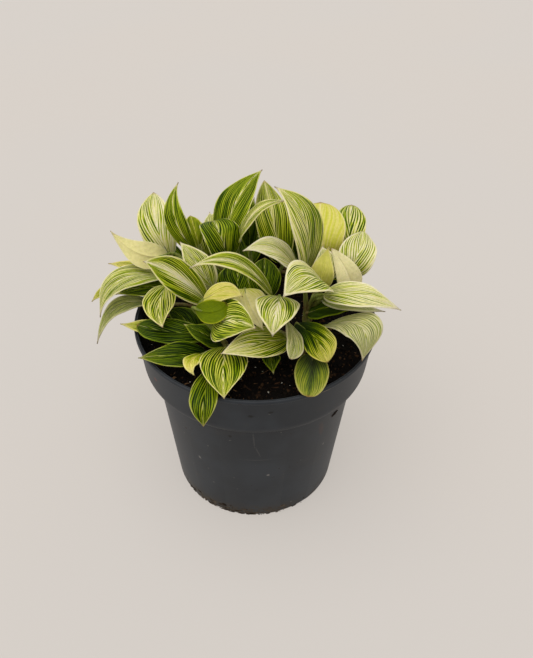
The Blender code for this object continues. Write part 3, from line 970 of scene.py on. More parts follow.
@dataclass
class Pot:
    """The moulded pot: a tapered body, a collar with a grooved lip, a foot ring and its drains."""

    rim_radius: float = 60.0
    height: float = 104.0
    collar_height: float = 24.0
    collar_foot_radius: float = 57.1
    body_top_radius: float = 51.8
    base_radius: float = 44.0
    wall: float = 1.3
    floor: float = 1.6
    groove_inner_radius: float = 31.0
    groove_outer_radius: float = 37.7
    groove_depth: float = 1.5
    lip_height: float = 2.2
    lip_width: float = 1.9
    notch_count: int = 6
    notch_width: float = 16.0
    notch_height: float = 1.4
    drain_radius: float = 3.2
    drain_sides: int = 32
    turn: float = math.radians(-120)
    sides: int = 216
    sweep_radius: float = 34.0
    sharp_from: float = 50.0

    @property
    def collar_foot(self) -> float:
        """The height of the collar's foot."""
        return self.height - self.collar_height

    def collar_radius(self, height: float) -> float:
        """The collar's outer radius at a height, on its straight slope.

        Args:
            height: the height

        Returns:
            The radius.
        """
        share = (height - self.collar_foot) / self.collar_height
        top_radius = self.rim_radius - self.lip_width / 2
        return self.collar_foot_radius + share * (top_radius - self.collar_foot_radius)

    def body_radius(self, height: float) -> float:
        """The body's outer radius at a height, on its straight slope."""
        share = height / self.collar_foot
        return self.base_radius + share * (self.body_top_radius - self.base_radius)

    def profile(self) -> Outline:
        """The outline from the middle of the underside, up the outside and down the inside.

        Returns:
            The radius and the height of each point.
        """
        foot, foot_radius, top = self.collar_foot, self.collar_foot_radius, self.height
        lip_foot = top - self.lip_height
        rim, lip = self.rim_radius, self.rim_radius - self.lip_width
        inner, outer = self.groove_inner_radius, self.groove_outer_radius
        groove, floor_low = self.groove_depth, self.floor + self.groove_depth
        body_inside = self.body_radius(4.0) - self.wall
        # Each corner has its radius, its height and how far from it the rounding begins.
        underside = [
            (0.0, 0.0, 0.0), (inner - 1.0, 0.0, 0.4), (inner + 0.5, groove, 0.5), (outer - 0.7, groove, 0.5),
            (outer + 0.8, 0.0, 0.4), (self.base_radius - 0.8, 0.0, 0.5),
        ]
        outside = [
            (self.body_radius(0.9), 0.9, 0.5), (self.body_radius(foot - 1.2), foot - 1.2, 0.8),
            (foot_radius - 2.5, foot - 0.7, 0.5), (foot_radius - 0.8, foot + 0.3, 0.7),
            (foot_radius, foot + 2.3, 2.2), (self.collar_radius(lip_foot), lip_foot - 0.3, 0.25),
        ]
        lip_with_groove = [
            (rim - 0.1, lip_foot + 0.35, 0.3), (rim, top - 0.7, 0.5), (rim - 0.4, top, 0.3),
            (rim - 0.75, top - 0.05, 0.12), (rim - 0.9, top - 0.45, 0.12), (rim - 1.15, top - 0.45, 0.12),
            (rim - 1.3, top - 0.1, 0.12), (lip + 0.2, top - 0.2, 0.25), (lip, top - 1.4, 0.4),
        ]
        inside = [
            (self.collar_radius(lip_foot) - self.wall, lip_foot - 0.4, 0.4),
            (self.collar_radius(foot + 2.0) - self.wall, foot + 2.0, 0.8),
            (self.body_radius(foot) - self.wall, foot + 0.8, 0.8), (body_inside, self.floor + 1.4, 1.0),
            (body_inside - 1.4, self.floor, 0.5), (outer + 0.8, self.floor, 0.4),
            (outer - 0.7, floor_low, 0.4), (inner + 0.5, floor_low, 0.4), (inner - 1.0, self.floor, 0.4),
            (0.0, self.floor, 0.0),
        ]
        return rounded(underside + outside + lip_with_groove + inside)

    def cutters(self) -> bpy.types.Object:
        """Builds the notches of the foot ring and the drain holes, as solids to cut with.

        Returns:
            All of them as one object.
        """
        points, faces = [], []

        def prism(outline: Sequence[np.ndarray], high: float) -> None:
            """Adds an upright solid that starts below the pot.

            Args:
                outline: the corners of its section
                high: the height of its top
            """
            start, count = len(points), len(outline)
            points.extend((x, y, z) for z in (-1.0, high) for x, y, _ in outline)
            faces.append(list(range(start + count - 1, start - 1, -1)))
            faces.append(list(range(start + count, start + 2 * count)))
            for k in range(count):
                after = (k + 1) % count
                faces.append([start + k, start + after, start + count + after, start + count + k])

        groove_middle = (self.groove_inner_radius + self.groove_outer_radius) / 2
        for step in range(self.notch_count):
            way = way_round(FULL_TURN * step / self.notch_count + self.turn)
            side = np.array((-way[1], way[0], 0.0)) * self.notch_width / 2
            near, far = way * (self.groove_outer_radius - 0.2), way * (self.base_radius + 2.0)
            prism((near - side, far - side, far + side, near + side), self.notch_height)
            middle = way_round(FULL_TURN * (step + 0.5) / self.notch_count + self.turn) * groove_middle
            turns = np.linspace(0, FULL_TURN, self.drain_sides, endpoint=False)
            prism([middle + way_round(turned) * self.drain_radius for turned in turns], self.floor + 4.0)
        return add_object("pot_cutters", make_mesh("pot_cutters", np.array(points), faces))

    def build(self, finish: bpy.types.Material) -> bpy.types.Object:
        """Turns the outline round the axis and cuts the notches and drains.

        Args:
            finish: the pot's material

        Returns:
            The piece.
        """
        outline = self.profile()[::-1]
        points = [(radius - self.sweep_radius, -height, 0.0) for radius, height in outline]
        edges = [(k, k + 1) for k in range(len(points) - 1)]
        thing = add_object("pot_shell", make_mesh("pot_shell", np.array(points), edges=edges))
        tools = self.cutters()
        sizes = {"sides": self.sides, "radius": self.sweep_radius * MM, "cut_away": tools}
        turned_recipe().run(thing, **sizes, finish=finish)
        remove(tools)
        thing.data.set_sharp_from_angle(angle=math.radians(self.sharp_from))
        return thing


def rounded(corners: Sequence[tuple[float, float, float]], steps: int = 4) -> Outline:
    """Rounds the corners of an outline.

    Args:
        corners: the place of each corner and how far from it the rounding begins
        steps: how many pieces each rounding has

    Returns:
        The outline's points.
    """
    points = [corners[0][:2]]
    for before, corner, after in zip(corners, corners[1:], corners[2:]):
        place = np.array(corner[:2])
        ends = []
        for other in (before, after):
            way = np.array(other[:2]) - place
            ends.append(place + way * min(0.45, corner[2] / np.linalg.norm(way)))
        for u in np.linspace(0, 1, steps + 1):
            points.append(tuple((1 - u) ** 2 * ends[0] + 2 * u * (1 - u) * place + u**2 * ends[1]))
    return [*points, corners[-1][:2]]


def turned_recipe() -> Recipe:
    """Builds the tree that turns an outline round the upright axis and cuts another object out of it.

    Returns:
        The tree.
    """
    recipe = Recipe("turn_outline", sides="Int", radius="Float", cut_away="Object")
    given = recipe.given
    ring = {"Resolution": given["sides"], "Radius": given["radius"]}
    circle = recipe.result("GeometryNodeCurvePrimitiveCircle", ring)
    outline = recipe.result("GeometryNodeMeshToCurve", {"Mesh": given["Geometry"]})
    turned = recipe.result("GeometryNodeCurveToMesh", {"Curve": circle, "Profile Curve": outline})
    closed = recipe.result("GeometryNodeMergeByDistance", {"Geometry": turned, "Distance": 0.02 * MM})
    tools = recipe.result("GeometryNodeObjectInfo", {"Object": given["cut_away"]}, "Geometry")
    solids = {"Mesh 1": closed, "Mesh 2": tools}
    cut = recipe.result("GeometryNodeMeshBoolean", solids, operation="DIFFERENCE", solver="EXACT")
    recipe.end(recipe.result("GeometryNodeSetShadeSmooth", {"Geometry": cut}))
    return recipe


@dataclass(frozen=True)
class Mark:
    """A mark on the pot's side: its place round and up the pot, its half sizes, slant and strength."""

    degrees: float
    height: float
    across: float
    up: float
    colour: Colour
    slant: float
    strength: float


SOIL_DARK = (0.002, 0.0015, 0.001)
SOIL_BROWN = (0.010, 0.004, 0.0025)
SCRATCHED = (0.16, 0.15, 0.14)
MUD_FILM = (0.052, 0.028, 0.022)
RUSTY_SPECK = (0.14, 0.03, 0.015)
TAN_SPLASH = (0.16, 0.11, 0.06)

MARKS = (
    Mark(-90.8, 93.2, 1.3, 0.9, SOIL_DARK, 0.0, 0.95),
    Mark(-82.0, 95.6, 1.2, 0.7, SOIL_DARK, 0.0, 0.95),
    Mark(-102.5, 70.2, 1.0, 1.0, SOIL_DARK, 0.0, 0.95),
    Mark(-37.6, 67.3, 3.3, 1.7, SOIL_BROWN, -0.3, 1.0),
    Mark(-48.2, 63.0, 1.8, 6.2, MUD_FILM, 0.2, 0.5),
    Mark(-89.6, 68.6, 0.42, 6.6, SCRATCHED, 0.15, 0.17),
    Mark(-87.2, 58.8, 0.42, 4.0, SCRATCHED, 0.8, 0.16),
    Mark(-87.5, 52.2, 8.0, 0.45, SCRATCHED, 0.0, 0.11),
    Mark(-80.9, 38.4, 0.9, 0.9, SCRATCHED, 0.0, 0.95),
    Mark(-124.7, 42.4, 0.9, 1.0, SCRATCHED, 0.0, 0.95),
    Mark(-140.0, 57.0, 0.8, 0.8, SOIL_BROWN, 0.0, 0.8),
    Mark(-43.0, 47.0, 0.7, 0.8, SCRATCHED, 0.0, 0.6),
    Mark(-142.8, 92.8, 1.1, 0.9, RUSTY_SPECK, 0.0, 0.95),
    Mark(-57.0, 102.2, 2.2, 0.4, TAN_SPLASH, 0.3, 0.8),
)


@dataclass(frozen=True)
class PlasticFinish:
    """Slate plastic with a dull bloom, soil dust round its foot, marks and a few scratches."""

    pot: Pot
    slate: Colour = (0.0152, 0.0181, 0.0220)
    bloom: Colour = (0.0265, 0.0314, 0.0378)
    # The pale grey of the painted highlight on the rim's top.
    rim_highlight_and_wear: Colour = (0.070, 0.070, 0.072)
    dust: Colour = (0.066, 0.046, 0.030)
    crusted: Colour = (0.036, 0.025, 0.013)
    scuff: Colour = (0.10, 0.095, 0.085)
    # The dark of the painted shade under the collar's foot.
    collar_foot_shade: Colour = (0.006, 0.007, 0.008)
    soil: Colour = (0.012, 0.008, 0.006)
    stains: Spots = Spots(0.60, 0.74, 55.0, 4.0, 0.12, dust, 0.6)
    scratches: Spots = Spots(0.735, 0.78, 4.0, 3.0, 0.35, scuff, stretch=(60.0, 60.0, 9.0))
    scuffs: Spots = Spots(0.76, 0.80, 420.0, 1.0, 0.6, scuff)
    specks: Spots = Spots(0.75, 0.79, 310.0, 1.0, 1.0, soil, stretch=(1.0, 1.0, 1.3))
    rim_highlight_strength: float = 0.2
    collar_foot_shade_strength: float = 0.7
    dust_strength: float = 0.55
    dust_top: float = 14.0
    crust_strength: float = 0.95
    crust_top: float = 9.5
    crust_raggedness: float = 20.0
    mark_raggedness: float = 1.6
    crust_middle: float = -104.0
    crust_half: float = 52.0
    side_radius: float = 53.0
    roughness: float = 0.45
    smoother: float = 0.07
    rougher: float = 0.16
    relief_scale: float = 1500.0
    relief_depth: float = 0.03
    relief_strength: float = 0.5

    def soiled_foot(
        self, plastic: Finish, colour: Socket, angle: Socket, height: Socket
    ) -> tuple[Socket, Socket]:
        """Lays dust round the foot, and over it at the front the ragged crust that soil has dried to.

        Args:
            plastic: the material
            colour: the colour without them
            angle: the angle round the pot
            height: the height of each point

        Returns:
            The colour with them, and how thick the dust has settled.
        """
        fine = plastic.grain(plastic.place, 120.0, 5.0, 0.65)
        settled = plastic.times(plastic.ease(self.dust_top, 0.0, height), plastic.ease(0.42, 0.62, fine))
        colour = plastic.laid(settled, self.dust_strength, colour, self.dust)
        off = plastic.maths("ABSOLUTE", plastic.less(angle, math.radians(self.crust_middle)))
        front = plastic.ease(math.radians(self.crust_half), math.radians(self.crust_half * 0.6), off)
        edge = plastic.maths("MULTIPLY_ADD", plastic.less(fine, 0.5), self.crust_raggedness, height)
        crust = plastic.times(front, plastic.ease(self.crust_top, self.crust_top * 0.4, edge))
        crust = plastic.times(crust, plastic.blotches(0.35, 0.6, 480.0, 4.0, 0.7))
        return plastic.laid(crust, self.crust_strength, colour, self.crusted), settled

    def marked(self, plastic: Finish, colour: Socket, angle: Socket, height: Socket) -> Socket:
        """Lays the single marks over a colour.

        Args:
            plastic: the material
            colour: the colour without them
            angle: the angle round the pot
            height: the height of each point

        Returns:
            The colour with them.
        """
        grain = plastic.grain(plastic.place, 900.0, 3.0)
        ragged = plastic.times(plastic.less(grain, 0.5), self.mark_raggedness)
        for mark in MARKS:
            up = plastic.maths("DIVIDE", plastic.less(height, mark.height), mark.up)
            off = plastic.less(angle, math.radians(mark.degrees))
            across = plastic.times(off, self.side_radius / mark.across)
            across = plastic.maths("MULTIPLY_ADD", up, mark.slant * mark.up / max(mark.across, 1.0), across)
            squares = plastic.plus(plastic.maths("POWER", across, 2.0), plastic.maths("POWER", up, 2.0))
            share = plastic.ease(1.25, 0.55, plastic.plus(plastic.maths("POWER", squares, 0.5), ragged))
            colour = plastic.laid(share, mark.strength, colour, mark.colour)
        return colour

    def make(self) -> bpy.types.Material:
        """Lays the bloom, a painted highlight on the rim's top, painted shade under the collar's foot, the
        soiling, the scratches and the marks, one over another.

        Returns:
            The material.
        """
        plastic = Finish("slate_plastic", self.roughness, Specular_IOR_Level=0.22)
        x, y, height = plastic.places()
        angle = plastic.maths("ARCTAN2", y, x)
        clouds = plastic.grain(plastic.place, 38.0, 3.0, 0.55)
        colour = plastic.mixed(plastic.ease(0.35, 0.7, clouds), self.slate, self.bloom)
        # The rim's top is painted paler: a painted highlight along the rim.
        rim_highlight_band = plastic.ease(self.pot.height - 0.7, self.pot.height - 0.1, height)
        colour = plastic.laid(rim_highlight_band, self.rim_highlight_strength, colour, self.rim_highlight_and_wear)
        # Painted shade darkens the underside of the collar's foot, in the crease where the collar meets the
        # body.
        foot = self.pot.collar_foot
        below = plastic.ease(foot + 2.4, foot + 0.8, height)
        collar_foot_shaded = plastic.times(below, plastic.ease(foot - 1.6, foot - 0.8, height))
        colour = plastic.laid(collar_foot_shaded, self.collar_foot_shade_strength, colour, self.collar_foot_shade)
        colour, settled = self.soiled_foot(plastic, colour, angle, height)
        for spots in (self.stains, self.scratches, self.scuffs, self.specks):
            colour = spots.over(plastic, colour)
        plastic.send(self.marked(plastic, colour, angle, height), "Base Color")
        rim_highlight_and_wear = plastic.plus(plastic.times(clouds, 0.8), plastic.times(settled, 0.6))
        plastic.roughness(self.roughness - self.smoother, self.roughness + self.rougher, rim_highlight_and_wear)
        relief = plastic.grain(plastic.place, self.relief_scale)
        plastic.relief(relief, self.relief_depth, self.relief_strength)
        return plastic.material


# The soil


@dataclass
class Soil:
    """The plug of peat, rough on top, with crumbs, bark fibres and pale grains lying on it."""

    pot: Pot
    top: float = 97.6
    gap: float = 0.35
    swell: float = 0.9
    swell_scale: float = 0.045
    swell_layer: float = 3.1
    lumps: float = 0.9
    lump_scale: float = 0.28
    lump_layer: float = 7.7
    lump_fading: float = 0.8
    lump_step: float = 2.1
    lump_octaves: int = 4
    sides: int = 120
    rings: int = 60
    scatter_radius: float = 54.6
    scatter_rings: int = 24
    sharp_from: float = 60.0

    def relief(self, x: float, y: float) -> float:
        """How far the soil stands above its mean level at a place.

        Args:
            x: how far right the place is
            y: how far back it is

        Returns:
            The height.
        """
        broad = noise.noise(Vector((x * self.swell_scale, y * self.swell_scale, self.swell_layer)))
        place = Vector((x * self.lump_scale, y * self.lump_scale, self.lump_layer))
        lumpy = noise.fractal(place, self.lump_fading, self.lump_step, self.lump_octaves)
        return self.swell * broad + self.lumps * lumpy

    def ring(self, radius: float, height: float | None = None) -> list[Point]:
        """The points of a ring round the axis.

        Args:
            radius: its radius
            height: its height, or None where it follows the rough top

        Returns:
            The points.
        """
        points = []
        for step in range(self.sides):
            x, y, _ = radius * way_round(FULL_TURN * step / self.sides)
            points.append((x, y, self.top + self.relief(x, y) if height is None else height))
        return points

    def band(self, start: int) -> list[list[int]]:
        """The faces between the ring whose first point is given and the ring after it."""
        pairs = [(start + k, start + (k + 1) % self.sides) for k in range(self.sides)]
        return [[a, a + self.sides, b + self.sides, b] for a, b in pairs]

    def surface(self, radius: float, rings: int) -> tuple[list[Point], list[list[int]]]:
        """The rough top out to a radius.

        Args:
            radius: how far out it goes
            rings: how many rings of faces it has

        Returns:
            Its points, the middle first and the outer ring last, and its faces.
        """
        points = [(0.0, 0.0, self.top + self.relief(0, 0))]
        faces = [[0, 1 + k, 1 + (k + 1) % self.sides] for k in range(self.sides)]
        for ring in range(1, rings + 1):
            points += self.ring(radius * ring / rings)
        for ring in range(rings - 1):
            faces += self.band(1 + ring * self.sides)
        return points, faces

    def bed(self, finish: bpy.types.Material) -> bpy.types.Object:
        """Builds the plug.

        Args:
            finish: the peat's material

        Returns:
            The piece.
        """
        pot, clear, foot = self.pot, self.pot.wall + self.gap, self.pot.collar_foot
        floor = pot.floor + pot.groove_depth + self.gap
        points, faces = self.surface(pot.collar_radius(self.top) - clear, self.rings)
        walls = (
            (pot.collar_radius(foot + 2.6) - clear, foot + 2.6),
            (pot.body_radius(foot) - clear, foot + 0.6),
            (pot.body_radius(4.0) - clear - 1.2, floor),
        )
        for radius, height in walls:
            faces += self.band(len(points) - self.sides)
            points += self.ring(radius, height)
        last = len(points) - self.sides
        faces += [[last + (k + 1) % self.sides, last + k, len(points)] for k in range(self.sides)]
        points.append((0.0, 0.0, floor))
        mesh = make_mesh("soil_bed", np.array(points), faces)
        mesh.materials.append(finish)
        mesh.shade_smooth()
        mesh.set_sharp_from_angle(angle=math.radians(self.sharp_from))
        return add_object("soil_bed", mesh)


@dataclass(frozen=True)
class UnevenBall:
    """A bit of soil with twenty faces, each of its twelve corners pushed in or out by chance."""

    unevenness: float
    seed: int
    edge: float = 2.1

    def build(self) -> tuple[np.ndarray, list[tuple[int, int, int]]]:
        """Works out the ball at a radius of about 1.

        Returns:
            Its corners and its faces.
        """
        golden = (1 + math.sqrt(5)) / 2
        corners = [(a, b, 0) for a in (-1, 1) for b in (-golden, golden)]
        corners = np.array([np.roll(corner, k) for k in range(3) for corner in corners], float)
        apart = np.linalg.norm(corners[:, None] - corners, axis=2)
        faces = [
            (i, j, k) if np.linalg.det(corners[[i, j, k]]) > 0 else (i, k, j)
            for i, j, k in combinations(range(len(corners)), 3)
            if max(apart[i, j], apart[j, k], apart[i, k]) < self.edge
        ]
        pushed = np.random.default_rng(self.seed).uniform(-1, 1, (len(corners), 1))
        return corners / np.linalg.norm(corners[0]) * (1 + self.unevenness * pushed), faces


@dataclass(frozen=True)
class Grain:
    """A kind of bit that lies on the soil: its form and how it is strewn."""

    name: str
    size: Point
    unevenness: float
    per_square_metre: float
    smallest: float
    largest: float
    tilt: float
    seed: int

    def strew(self, recipe: Recipe, soil: Soil, finish: bpy.types.Material) -> bpy.types.Object:
        """Strews copies of one bit over the soil.

        Args:
            recipe: the tree that strews them
            soil: the soil that they lie on
            finish: their material

        Returns:
            All the copies as one piece.
        """
        corners, sides = UnevenBall(self.unevenness, self.seed).build()
        mesh = make_mesh(self.name, corners * np.array(self.size) / 2, sides)
        shape = add_object(f"{self.name}_shape", mesh)
        points, faces = soil.surface(soil.scatter_radius, soil.scatter_rings)
        thing = add_object(self.name, make_mesh(self.name, np.array(points), faces))
        sizes = {"smallest": self.smallest, "largest": self.largest}
        chances = {"per_square_metre": self.per_square_metre, "tilt": self.tilt, "seed": self.seed}
        recipe.run(thing, shape=shape, **sizes, **chances, finish=finish)
        remove(shape)
        return thing


GRAINS = (
    Grain("peat_crumbs", (1.6, 1.3, 1.1), 0.35, 330_000, 0.35, 1.7, math.pi, 11),
    Grain("bark_fibres", (3.4, 0.5, 0.4), 0.4, 38_000, 0.4, 1.6, 0.6, 12),
    Grain("bark_chips", (2.3, 1.6, 1.0), 0.35, 26_000, 0.35, 1.25, 0.8, 14),
    Grain("pale_grains", (1.1, 1.0, 0.9), 0.25, 9_000, 0.45, 1.1, math.pi, 13),
)


def scatter_recipe() -> Recipe:
    """Builds the tree that strews a shape over a surface, each copy turned and sized by chance.

    Returns:
        The tree.
    """
    kinds = {"per_square_metre": "Float", "seed": "Int", "shape": "Object"}
    recipe = Recipe("strew_on_soil", **kinds, smallest="Float", largest="Float", tilt="Float")
    given = recipe.given
    chosen = {"Mesh": given["Geometry"], "Density": given["per_square_metre"], "Seed": given["seed"]}
    points = recipe.result("GeometryNodeDistributePointsOnFaces", chosen)
    back = recipe.result("ShaderNodeMath", {0: given["tilt"], 1: -1.0}, operation="MULTIPLY")
    least = recipe.result("ShaderNodeCombineXYZ", {0: back, 1: back, 2: 0.0})
    most = recipe.result("ShaderNodeCombineXYZ", {0: given["tilt"], 1: given["tilt"], 2: FULL_TURN})
    turns = {0: least, 1: most, "Seed": given["seed"]}
    turned = recipe.result("FunctionNodeRandomValue", turns, data_type="FLOAT_VECTOR")
    sized = recipe.result("FunctionNodeRandomValue", {"Seed": given["seed"]}, 1, data_type="FLOAT")
    mostly_small = recipe.result("ShaderNodeMath", {0: sized, 1: 2.2}, operation="POWER")
    span = {"Value": mostly_small, "To Min": given["smallest"], "To Max": given["largest"]}
    size = recipe.result("ShaderNodeMapRange", span)
    shape = recipe.result("GeometryNodeObjectInfo", {"Object": given["shape"]}, "Geometry")
    placed = {"Points": points, "Instance": shape, "Rotation": turned, "Scale": size}
    copies = recipe.result("GeometryNodeInstanceOnPoints", placed)
    tone = recipe.result("FunctionNodeRandomValue", {"Seed": 77}, 1, data_type="FLOAT")
    kept = {"Geometry": copies, "Name": "tone", "Value": tone}
    recipe.end(recipe.result("GeometryNodeStoreNamedAttribute", kept, data_type="FLOAT", domain="INSTANCE"))
    return recipe


@dataclass(frozen=True)
class StuckSoil:
    """Clods that dried on the pot's side: one under the collar and a ragged crust round the foot."""

    pot: Pot
    under_collar: tuple[float, float, float, float] = (-37.6, 67.3, 2.7, 1.5)
    count: int = 170
    middle: float = -106.0
    spread: float = 21.0
    reach: float = 6.5
    smallest: float = 0.22
    largest: float = 1.1
    widest: float = 1.9
    upright: float = 0.7
    flatness: float = 0.45
    sunk: float = 0.15
    unevenness: float = 0.28
    small_bias: int = 3
    low_bias: float = 2.5
    turns: Point = (1.7, 0.9, 2.3)
    tone_step: float = 0.37
    seed: int = 41

    def places(self) -> list[tuple[float, float, float, float]]:
        """Draws the clods by chance.

        Returns:
            The angle and height of each clod and its half sizes across and up.
        """
        chance = random.Random(self.seed)
        found = [self.under_collar]
        for _ in range(self.count):
            size = self.smallest + (self.largest - self.smallest) * chance.random() ** self.small_bias
            angle = chance.gauss(self.middle, self.spread)
            height = size + self.reach * chance.random() ** self.low_bias
            found.append((angle, height, size * chance.uniform(1.0, self.widest), size * self.upright))
        return found

    def build(self, finish: bpy.types.Material) -> bpy.types.Object:
        """Presses every clod flat on the wall.

        Args:
            finish: the soil's material

        Returns:
            All the clods as one piece.
        """
        corners, sides = UnevenBall(self.unevenness, self.seed).build()
        upright = np.array((0.0, 0.0, 1.0))
        points, faces, tones = [], [], []
        for order, (degrees, height, across, up) in enumerate(self.places()):
            out = way_round(math.radians(degrees))
            along = np.array((-out[1], out[0], 0.0))
            spun = corners @ np.array(Euler([order * turn for turn in self.turns]).to_matrix())
            middle = out * (self.pot.body_radius(height) - self.sunk * up) + upright * height
            faces += [tuple(corner + len(points) for corner in side) for side in sides]
            points += list(middle + spun @ np.array((along * across, upright * up, out * up * self.flatness)))
            tones += [order * self.tone_step % 1.0] * len(corners)
        mesh = make_mesh("stuck_soil", points, faces)
        store(mesh, "tone", tones)
        mesh.materials.append(finish)
        return add_object("stuck_soil", mesh)


@dataclass(frozen=True)
class PeatFinish:
    """Damp peat and what lies on it, from black crumbs to tan bark."""

    name: str
    darkest: Colour
    middle: Colour
    lightest: Colour
    stops: tuple[float, ...] = (0.2, 0.62, 1.0)
    tone_weight: float = 0.6
    mottle_weight: float = 0.5
    mottle_scale: float = 420.0
    roughness: float = 0.9
    relief_depth: float = 0.5
    relief_strength: float = 0.7

    def make(self) -> bpy.types.Material:
        """Gives each bit its own tone and mottles it.

        Returns:
            The material.
        """
        peat = Finish(self.name, self.roughness, Specular_IOR_Level=0.1)
        tone = peat.result("ShaderNodeAttribute", output="Fac", attribute_name="tone")
        mottle = peat.grain(peat.place, self.mottle_scale, 4.0, 0.7)
        value = peat.plus(peat.times(tone, self.tone_weight), peat.times(mottle, self.mottle_weight))
        colours = (self.darkest, self.middle, self.lightest)
        peat.send(peat.ramp(value, *zip(self.stops, colours)), "Base Color")
        peat.relief(mottle, self.relief_depth, self.relief_strength)
        return peat.material


PEAT_BLACK = (0.003, 0.002, 0.0015)

PEAT_FINISHES = {
    "soil_bed": PeatFinish("damp_peat", PEAT_BLACK, (0.009, 0.0055, 0.0035), (0.04, 0.021, 0.010)),
    "peat_crumbs": PeatFinish("peat_crumb", PEAT_BLACK, (0.010, 0.006, 0.0035), (0.075, 0.036, 0.015)),
    "bark_fibres": PeatFinish("bark_fibre", (0.02, 0.009, 0.005), (0.07, 0.032, 0.014), (0.30, 0.17, 0.08)),
    "bark_chips": PeatFinish("bark_chip", (0.010, 0.005, 0.003), (0.045, 0.022, 0.010), (0.34, 0.19, 0.09)),
    "stuck_soil": PeatFinish("dried_soil", (0.010, 0.006, 0.004), (0.042, 0.030, 0.020), (0.14, 0.11, 0.08)),
    "pale_grains": PeatFinish("pale_grain", (0.16, 0.14, 0.10), (0.35, 0.32, 0.26), (0.6, 0.56, 0.5)),
}


# The plantlets

